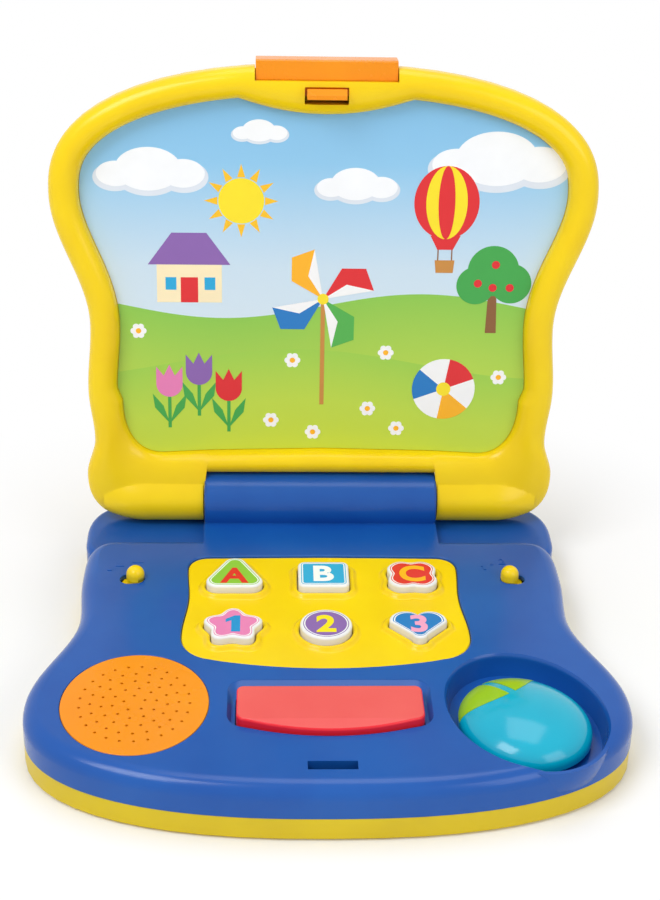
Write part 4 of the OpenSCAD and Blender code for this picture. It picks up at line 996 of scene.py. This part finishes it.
# %% [markdown]
# ## The lid
# The lid's front is a half-round rim between the outer line and the picture opening, with two
# round barrels below that turn on the hinge pins. It is drawn flat in the lid's own frame, as
# the toolmaker would, and leaned back at the end. The rim is a tube whose section is half an
# ellipse, so each ring of points is a mix of the outer line and the opening.
# %% Lid outlines
SIDE_R = 10.3
CUT_HALF = BARREL_HALF + 0.7
CREST = HINGE_Z - DECK_Z - 0.3
LID_SEAM = 3.0
PICTURE_Z = -2.5
RIM = 13.5
OPEN_X, OPEN_LOW, OPEN_DIP = HALF_SHOULDER - 15.8, 25.6, 186.0


def lid_low_half(low):
    """The lid's outline below the shoulders, with the middle cut out for the base's barrel."""
    return ([(0, BARREL_R + 0.5), (CUT_HALF, BARREL_R + 0.5), (CUT_HALF, low),
             ((CUT_HALF + HALF_LOBE - CORNER) / 2, low)]
            + power_arc(HALF_LOBE - CORNER, LOBE, CORNER, LOBE - low, NOSE_POWER, -90, 0, 8 * FINE)
            + eased(HALF_LOBE, LOBE, 107.7, 31, 4 * FINE) + [(107.7, 31)]
            + eased(107.7, 31, HALF_SHOULDER, SHOULDER, 4 * FINE))


def open_low(x):
    return OPEN_LOW - 3.6 * (x / OPEN_X) ** 2


def below_dip(x, y):
    return (x, min(y, OPEN_DIP + 7 * (x / 39) ** 2)) if abs(x) < 39 else (x, y)


lid_line = mirrored(lid_low_half(1 - SIDE_R) + front_half)
back_line = mirrored(lid_low_half(2.0) + front_half)
inner_front = offset(mirrored(front_half), -RIM)[:len(front_half)]
inner_front[0] = (HALF_SHOULDER - RIM, SHOULDER)
inner_front = [below_dip(x, y) for x, y in inner_front]
inner_front[-1] = (0, OPEN_DIP)
corner_x = OPEN_X - 19
open_line = mirrored(
    [(0, OPEN_LOW), (CUT_HALF - 4, open_low(CUT_HALF - 4)), (CUT_HALF, open_low(CUT_HALF)),
     (corner_x, open_low(corner_x))]
    + power_arc(corner_x, open_low(corner_x) + 27, 19, 27, 2.3, -90, 0, 16 * FINE)[1:]
    + inner_front)
print("lid outline points:", len(lid_line), "opening:", len(open_line))

# %% Lid frame
rim_rings = [ring(lid_line, -LID_SEAM)]
RIM_STEPS = 14
for j in range(RIM_STEPS + 1):
    a = math.pi * j / RIM_STEPS
    f = (1 - math.cos(a)) / 2
    rim_rings.append([(p[0] + f * (q[0] - p[0]), p[1] + f * (q[1] - p[1]), CREST * math.sin(a))
                      for p, q in zip(lid_line, open_line)])
rim_rings.append(ring(open_line, -LID_SEAM))


TAPER_AT, TAPER_END = 84.0, 104.0
BULGE_TOP, BULGE_FOOT = 18.0, 3.4


def taper(x):
    """The share of its full size that a side barrel has at x."""
    return 1 - 0.5 * max(0.0, (x - TAPER_AT) / (TAPER_END - TAPER_AT)) ** 2


def side_barrel(side, radius, start):
    """A side barrel, spun from its profile: straight, then tapering into the lobe."""
    stations = [TAPER_AT + (TAPER_END - TAPER_AT) * k / 12 for k in range(13)]
    profile = ([(start, 0.0), (start, radius)] + [(x, radius * taper(x)) for x in stations]
               + [(TAPER_END, 0.0)])
    bm = bmesh.new()
    verts = [bm.verts.new((side * x, r, 0)) for x, r in profile]
    edges = [bm.edges.new(pair) for pair in zip(verts, verts[1:])]
    bmesh.ops.spin(bm, geom=verts + edges, cent=(0, 0, 0), axis=(1, 0, 0), angle=2 * math.pi,
                   steps=64, use_merge=True)
    bmesh.ops.remove_doubles(bm, verts=bm.verts, dist=0.001)
    bmesh.ops.recalc_face_normals(bm, faces=bm.faces)
    return bm


def blend_bulge(side, radius, start):
    """The soft swelling that carries a side barrel up into the face of the rim."""
    rings = []
    for k in range(21):
        x = start + (TAPER_END - start) * k / 20
        size = taper(x)
        section = [(-radius * size, 0.0)]
        section += [(-radius * size * math.cos(a), radius * size * math.sin(a))
                    for a in (math.pi / 2 * i / 16 for i in range(1, 17))]
        section += [(BULGE_TOP * i / 20, size * (BULGE_FOOT + (radius - BULGE_FOOT)
                                                 * math.cos(math.pi / 2 * i / 20) ** 2))
                    for i in range(1, 21)]
        section.append((BULGE_TOP, 0.0))
        rings.append([(side * x, y, z) for y, z in section])
    return loft(rings)


LATCH_LOW, LATCH_FACE, LATCH_TRAVEL = 201.6, 3.0, 2.8
# Half widths of the channels for the push bar and its arm, and the top of the arm's channel
CHANNEL_HALF, ARM_HALF, ARM_TOP = 31.85, 12.4, 1.5
CATCH_AT = 196.2
WINDOW_LOW, WINDOW_TOP = CATCH_AT - 5.0 - 0.1, CATCH_AT + 2.7
PIN_HOLE_R = 2.56
lid = solid("lid_rim", loft(rim_rings, closed_section=True))
combine(lid, "UNION",
        slab(open_line, PICTURE_Z - 1.6, PICTURE_Z, grow=1.0),
        *(side_barrel(side, SIDE_R, CUT_HALF + 0.05) for side in (-1, 1)),
        *(blend_bulge(side, SIDE_R - 0.05, CUT_HALF + 0.06) for side in (-1, 1)))
combine(lid, "DIFFERENCE",
        box(-CHANNEL_HALF, LATCH_LOW - 0.3, -20, CHANNEL_HALF, 250, 20),
        box(-CHANNEL_HALF, LATCH_LOW - LATCH_TRAVEL - 3, -20, CHANNEL_HALF, LATCH_LOW + 14,
            LATCH_FACE + 0.2),
        box(-ARM_HALF, WINDOW_LOW, -9, ARM_HALF, LATCH_LOW, ARM_TOP),
        box(-SLOT_HALF, WINDOW_LOW, -9, SLOT_HALF, WINDOW_TOP, 30, 0.5),
        barrel(-CUT_HALF + 1, -80, PIN_HOLE_R), barrel(CUT_HALF - 1, 80, PIN_HOLE_R))
finish_piece(lid, "lid", [yellow_abs], ["lid_frame"], on_lid=True, sharp=40)

# %% [markdown]
# ## The picture
# The picture is a card under the rim, screen printed with a plain landscape: a sky that pales
# downwards over two rolling meadows. That ground is one material, worked out from the height
# and the width on the card, so it needs no edges. The motifs over it are cut from thin layers
# of ink: clouds, a sun, a striped balloon, a house, a tree, a pinwheel, tulips, a ball, daisies.
# %% Picture ground
# Each ground, from the back: the height of its top line, the line's swing, waves and shift, the
# share of its colours for a metre below the line, and the colours themselves. The sky's colours
# are counted upwards, from a level line.
GROUNDS = (
    (0.09, 0.0, 0.0, 0.0, -7.5,
     ((0.0, "DFEDF5"), (1.0, "80BEE9"), (0.42, "CBE1F0"), (0.78, "8FC8EC"))),
    (0.128, 0.006, 34.0, 0.0, 26.0, ((0.0, "8CC84B"), (1.0, "B7D84A"))),
    (0.100, 0.007, 27.0, 1.9, 20.0, ((0.0, "9ED04A"), (1.0, "C9DD3F"), (0.5, "BFDB46"))))


def printed_landscape():
    """Sky and meadows by place on the card."""
    material, tree = new_material("screen_printed_card")
    place = add_node(tree, "ShaderNodeTexCoord").outputs["Object"]
    split = add_node(tree, "ShaderNodeSeparateXYZ", links={"Vector": place}).outputs
    ground = None
    for top, swing, waves, shift, gain, stops in GROUNDS:
        turn = add_node(tree, "ShaderNodeMath", {"operation": "MULTIPLY_ADD"}, {1: waves, 2: shift},
                        {0: split["X"]})
        wave = add_node(tree, "ShaderNodeMath", {"operation": "SINE"}, links={0: turn.outputs[0]})
        line = add_node(tree, "ShaderNodeMath", {"operation": "MULTIPLY_ADD"}, {1: swing, 2: top},
                        {0: wave.outputs[0]})
        below = add_node(tree, "ShaderNodeMath", {"operation": "SUBTRACT"},
                         links={0: line.outputs[0], 1: split["Z"]})
        share = add_node(tree, "ShaderNodeMath", {"operation": "MULTIPLY"}, {1: gain},
                         {0: below.outputs[0]})
        tone = add_node(tree, "ShaderNodeValToRGB", links={"Fac": share.outputs[0]})
        elements = tone.color_ramp.elements
        for element, (position, colour) in zip(elements, stops):
            element.position = position
            element.color = linear(colour)
        for position, colour in stops[2:]:
            elements.new(position).color = linear(colour)
        if ground is None:
            ground = tone.outputs["Color"]
            continue
        inside = add_node(tree, "ShaderNodeMath", {"operation": "GREATER_THAN"}, {1: 0.0},
                          {0: below.outputs[0]})
        ground = add_node(tree, "ShaderNodeMix", {"data_type": "RGBA"},
                          links={0: inside.outputs[0], 6: ground, 7: tone.outputs["Color"]}).outputs[2]
    tooth = add_node(tree, "ShaderNodeTexVoronoi", {}, {"Scale": per_mm(SCREEN_MM)},
                     {"Vector": place})
    bump = add_node(tree, "ShaderNodeBump", {}, {"Strength": 0.05, "Distance": INK_DEPTH},
                    {"Height": tooth.outputs["Distance"]})
    shader = add_node(tree, "ShaderNodeBsdfPrincipled", {}, {"Roughness": 0.3, "IOR": 1.5},
                      {"Base Color": ground, "Normal": bump.outputs["Normal"]})
    add_node(tree, "ShaderNodeOutputMaterial", links={"Surface": shader.outputs["BSDF"]})
    return material


CARD_TOP = PICTURE_Z + 0.52
card = solid("picture_sheet", slab(open_line, PICTURE_Z + 0.02, CARD_TOP, grow=-0.25))
finish_piece(card, "lid", [printed_landscape()], ["picture_card"], on_lid=True)

# %% Picture motifs
picture_inks = []
picture_layers = []
LAYER = 0.02
# Each shape lies a hair over the last, so that no two faces share a plane
OVERLAP = 0.0004


def disc_line(x, y, a, b=None, start=0, end=360, count=48):
    """An ellipse or a part of one."""
    b = a if b is None else b
    whole = end - start >= 360
    steps = count if whole else count + 1
    return [(x + a * math.cos(math.radians(start + (end - start) * i / count)),
             y + b * math.sin(math.radians(start + (end - start) * i / count)))
            for i in range(steps)]


def post(x, y, low, high, tall):
    """A four-sided shape that stands at a point, with a half width below and one above."""
    return [(x - low, y), (x + low, y), (x + high, y + tall), (x - high, y + tall)]


def lay(points, layer, name):
    """Adds one flat shape of ink at a layer of the print."""
    material = ink(name)
    if material not in picture_inks:
        picture_inks.append(material)
    height = CARD_TOP + LAYER * layer + OVERLAP * len(picture_layers)
    shape = loft([ring(points, CARD_TOP - 0.05), ring(points, height)])
    picture_layers.append(painted(shape, picture_inks.index(material)))


# Clouds: a grey underside with white puffs over it, as (x, y, radius) in the cloud's own size
PUFFS = ((1, "cloud_grey", ((0, -0.1, 1.0), (-0.95, -0.22, 0.62), (1.0, -0.2, 0.7))),
         (2, "cloud_white", ((0, 0.02, 0.94), (-0.92, -0.12, 0.55), (0.98, -0.1, 0.62))))
for x, y, size in ((-80, 160, 16), (78, 166, 20), (14, 154, 12), (-30, 178, 8)):
    for layer, tone, puffs in PUFFS:
        for dx, dy, r in puffs:
            lay(disc_line(x + dx * size, y + dy * size, r * size, r * size * 0.66), layer, tone)

# Sun with rays, upper left
SX, SY = -38, 146
for i in range(12):
    a = math.radians(30 * i)
    lay([(SX + r * math.cos(a + turn), SY + r * math.sin(a + turn))
         for r, turn in ((11, 0.17), (17, 0), (11, -0.17))], 1, "sun_ray")
lay(disc_line(SX, SY, 10.5), 2, "yellow")

# Hot-air balloon with stripes, upper right
BX, BY = 56, 146
for half, name in ((15, "red"), (9.5, "yellow"), (3.8, "red")):
    lay(disc_line(BX, BY, half, 17), 3 + int(15 - half), name)
lay(post(BX, BY - 22, 3.6, 7, 6.6), 3, "red")
for dx in (-3.2, 3.2):
    lay(post(BX + dx, BY - 27, 0.3, 0.3, 5), 3, "brown")
lay(post(BX, BY - 33, 4, 4.6, 6), 4, "straw")

# House on the far hill, left
HX, HY = -62, 98
lay(post(HX, HY, 15, 15, 19), 3, "cream")
lay(post(HX, HY + 18, 19, 8, 15), 4, "violet")
lay(post(HX, HY, 4, 4, 12), 5, "red")
for dx in (-8.5, 9.5):
    lay(post(HX + dx, HY + 6, 2.5, 2.5, 6), 5, "cyan")

# Tree, right
TX, TY = 79, 92
lay(post(TX, TY - 8, 2.6, 1.8, 24), 3, "brown")
for dx, dy, r in ((0, 22, 12), (-8, 15, 9), (8.5, 16, 9.5)):
    lay(disc_line(TX + dx, TY + dy, r), 4, "leaf")
for dx, dy in ((-7, 16), (1, 25), (8, 14), (0, 14)):
    lay(disc_line(TX + dx, TY + dy, 1.9), 6, "red")

# Pinwheel in the middle of the meadow
PX, PY = 0, 100
lay(post(PX, PY - 52, 1, 1, 52), 3, "straw")
BLADE = [(0, 0), (24, 0), (22, 11), (11, 13)]
FOLD = [(0, 0), (24, 0), (12, 5)]
for i, name in enumerate(("red", "amber", "azure", "lime_dark")):
    a = math.radians(90 * i + 10)
    c, s = math.cos(a), math.sin(a)
    for points, layer, tone in ((BLADE, 4, name), (FOLD, 5, "pale_" + name)):
        lay([(PX + x * c - y * s, PY + x * s + y * c) for x, y in points], layer, tone)
lay(disc_line(PX, PY, 2.6), 7, "yellow")

# Tulips, lower left
for x, y, name in ((-72, 58, "pink"), (-58, 64, "violet"), (-44, 56, "red")):
    lay(post(x, y - 22, 0.8, 0.8, 22), 3, "leaf")
    for side in (-1, 1):
        leaf = [(x, y - 20), (x + side * 7, y - 12), (x + side * 8, y - 5), (x + side * 3, y - 11)]
        lay(leaf, 4, "leaf")
    lay(disc_line(x, y, 6.2, 6.5, 180, 360, 24)
        + [(x + 6.2, y + 8.5), (x + 2.6, y + 4), (x, y + 9.5), (x - 2.6, y + 4),
           (x - 6.2, y + 8.5)], 5, name)

# Ball, lower right
QX, QY, QR = 58, 56, 15
lay(disc_line(QX, QY, QR), 4, "white")
for i, name in enumerate(("red", "azure", "amber")):
    lay([(QX, QY)] + disc_line(QX, QY, QR, None, 120 * i + 20, 120 * i + 80, 16), 5, name)
lay(disc_line(QX, QY, 3.4), 6, "yellow")

# Daisies in the grass
for x, y in ((-24, 40), (-14, 70), (22, 46), (30, 74), (84, 62), (-86, 84), (36, 36), (-4, 34)):
    for i in range(6):
        a = math.radians(60 * i)
        lay(disc_line(x + 2.3 * math.cos(a), y + 2.3 * math.sin(a), 1.5, count=12), 2, "white")
    lay(disc_line(x, y, 1.3, count=12), 3, "amber")

motifs = solid("picture_print", joined(picture_layers))
finish_piece(motifs, "lid", picture_inks, on_lid=True, even=False)

# %% [markdown]
# ## The lid's back, the tray and the small mouldings
# These pieces already have their right shapes in the engineering model. A merged copy of each
# gets whole flat faces, and the push bar small edge radii as well.
# %% Softened copies
for name, node, body, slot_name, material, bevel, sharp in (
        ("lid_back_shell", "lid_back", "lid", "yellow_shell", yellow_abs, 0.0, 38),
        ("tray_shell", "base_bottom", "base", "yellow_shell", tray_abs, 0.0, 38),
        ("middle_barrel", "hinge_barrel", "base", "blue_shell", blue_abs, 0.0, 38),
        ("push_bar", "latch_slider", "latch", "orange_part", orange_abs, 0.5, 38),
        ("knob_left", "switch_left", "switch_left", "yellow_shell", yellow_abs, 0.0, 40),
        ("knob_right", "switch_right", "switch_right", "yellow_shell", yellow_abs, 0.0, 40),
        ("bay_door", "battery_door", "base", "yellow_shell", tray_abs, 0.0, 38)):
    dressed(name, node, body, material, bevel, sharp)

# %% [markdown]
# ## Finishes of the carried-over pieces
# The rest of the model is shown as it is: the board, the domes, the cells and the fasteners.
# Each only takes its own finish.
# %% Finishes by node
FINISHES = (
    (solder_mask, ["circuit_board", "mouse_board"]), (cell_sleeve, ["batteries"]),
    (nickel, ["battery_contacts"]), (paper_cone, ["speaker_driver"]), (epoxy, ["chip_cover"]),
    (black_nylon, ["left_switch_body", "right_switch_body"]), (wire_red, ["speaker_wires"]),
    (wire_black, ["battery_wires"]), (cyan_abs, ["mouse_foot"]),
    (silicone, ["bar_domes", "mouse_dome"] + ["dome_" + key for key in KEYS]),
    (zinc_steel, ["speaker_clamp", "latch_springs", "hinge_pin_left", "hinge_pin_right",
                  "door_screw", "case_screws", "barrel_screws", "board_screws", "lid_screws"]))
for material, names in FINISHES:
    for name in names:
        for material_slot in nodes[name].material_slots:
            material_slot.material = material
print("carried-over nodes finished:", sum(len(names) for _, names in FINISHES))

# %% [markdown]
# ## Floor and light
# The toy stands on a flat white floor that fades to pure white a little way off, so it runs
# into the background. The light is that of a small studio: one wide lamp high at the left, a
# weaker one at the right, one from above, and an even sky. Together they light a face that looks
# up at about the level at which a colour shows as it is written.
# %% Floor
floor_bm = bmesh.new()
bmesh.ops.create_grid(floor_bm, x_segments=1, y_segments=1, size=4.0)
floor = solid("floor", floor_bm)
floor_paint, floor_tree = new_material("white_floor_paint")
floor_noise = add_node(floor_tree, "ShaderNodeTexNoise", {}, {"Scale": per_mm(80)})
floor_tint = add_node(floor_tree, "ShaderNodeMapRange", {}, {"To Min": 0.93, "To Max": 0.95},
                      {"Value": floor_noise.outputs["Fac"]})
floor_shader = add_node(floor_tree, "ShaderNodeBsdfPrincipled", {},
                        {"Roughness": 0.9, "Specular IOR Level": 0.1},
                        {"Base Color": floor_tint.outputs["Result"]})


def background_rays(tree):
    """1 for a ray from the camera or from a clear or mirrored surface, and 0 for light itself."""
    rays = add_node(tree, "ShaderNodeLightPath").outputs
    first = add_node(tree, "ShaderNodeMath", {"operation": "MAXIMUM"},
                     links={0: rays["Is Camera Ray"], 1: rays["Is Glossy Ray"]})
    return add_node(tree, "ShaderNodeMath", {"operation": "MAXIMUM"},
                    links={0: first.outputs[0], 1: rays["Is Transmission Ray"]}).outputs[0]


# Away from the toy the floor turns plain white, and its shadow stays close around it
NEAR_M, FAR_M = 0.12, 0.28
floor_place = add_node(floor_tree, "ShaderNodeTexCoord").outputs["Object"]
floor_reach = add_node(floor_tree, "ShaderNodeVectorMath", {"operation": "LENGTH"},
                       links={0: floor_place})
floor_fade = add_node(floor_tree, "ShaderNodeMapRange", {"interpolation_type": "SMOOTHSTEP"},
                      {"From Min": NEAR_M, "From Max": FAR_M}, {"Value": floor_reach.outputs["Value"]})
floor_seen = add_node(floor_tree, "ShaderNodeMath", {"operation": "MULTIPLY"},
                      links={0: floor_fade.outputs["Result"], 1: background_rays(floor_tree)})
floor_white = add_node(floor_tree, "ShaderNodeEmission", {},
                       {"Color": (1, 1, 1, 1), "Strength": 1.0})
floor_mix = add_node(floor_tree, "ShaderNodeMixShader",
                     links={0: floor_seen.outputs[0], 1: floor_shader.outputs["BSDF"],
                            2: floor_white.outputs["Emission"]})
add_node(floor_tree, "ShaderNodeOutputMaterial", links={"Surface": floor_mix.outputs["Shader"]})
floor.data.materials.append(floor_paint)

# %% Lights
def softbox(name, place, target, size, power):
    """A square area lamp that faces a point."""
    data = bpy.data.lights.new(name, "AREA")
    data.shape, data.size, data.energy = "SQUARE", size, power
    lamp = bpy.data.objects.new(name, data)
    direction = Vector(target) - Vector(place)
    facing_target = direction.to_track_quat("-Z", "Y").to_matrix().to_4x4()
    lamp.matrix_world = Matrix.Translation(place) @ facing_target
    bpy.context.scene.collection.objects.link(lamp)


softbox("key", (-0.7, -0.6, 1.3), (0, 0, 0.08), 0.7, 10.2)
softbox("fill", (0.9, -0.9, 0.8), (0, 0, 0.08), 0.8, 4.6)
softbox("top", (0.1, 0.3, 1.6), (0, 0, 0.05), 0.9, 5.5)

world = bpy.data.worlds.new("studio")
bpy.context.scene.world = world
world.use_nodes = True
sky_tree = world.node_tree
sky_tree.nodes.clear()
lighting = add_node(sky_tree, "ShaderNodeBackground", {}, {"Color": (1, 1, 1, 1), "Strength": 0.5})
seen = add_node(sky_tree, "ShaderNodeBackground", {}, {"Color": (1, 1, 1, 1), "Strength": 1.0})
choose = add_node(sky_tree, "ShaderNodeMixShader",
                  links={0: background_rays(sky_tree), 1: lighting.outputs["Background"],
                         2: seen.outputs["Background"]})
add_node(sky_tree, "ShaderNodeOutputWorld", links={"Surface": choose.outputs["Shader"]})
bpy.context.scene.view_settings.view_transform = "Standard"
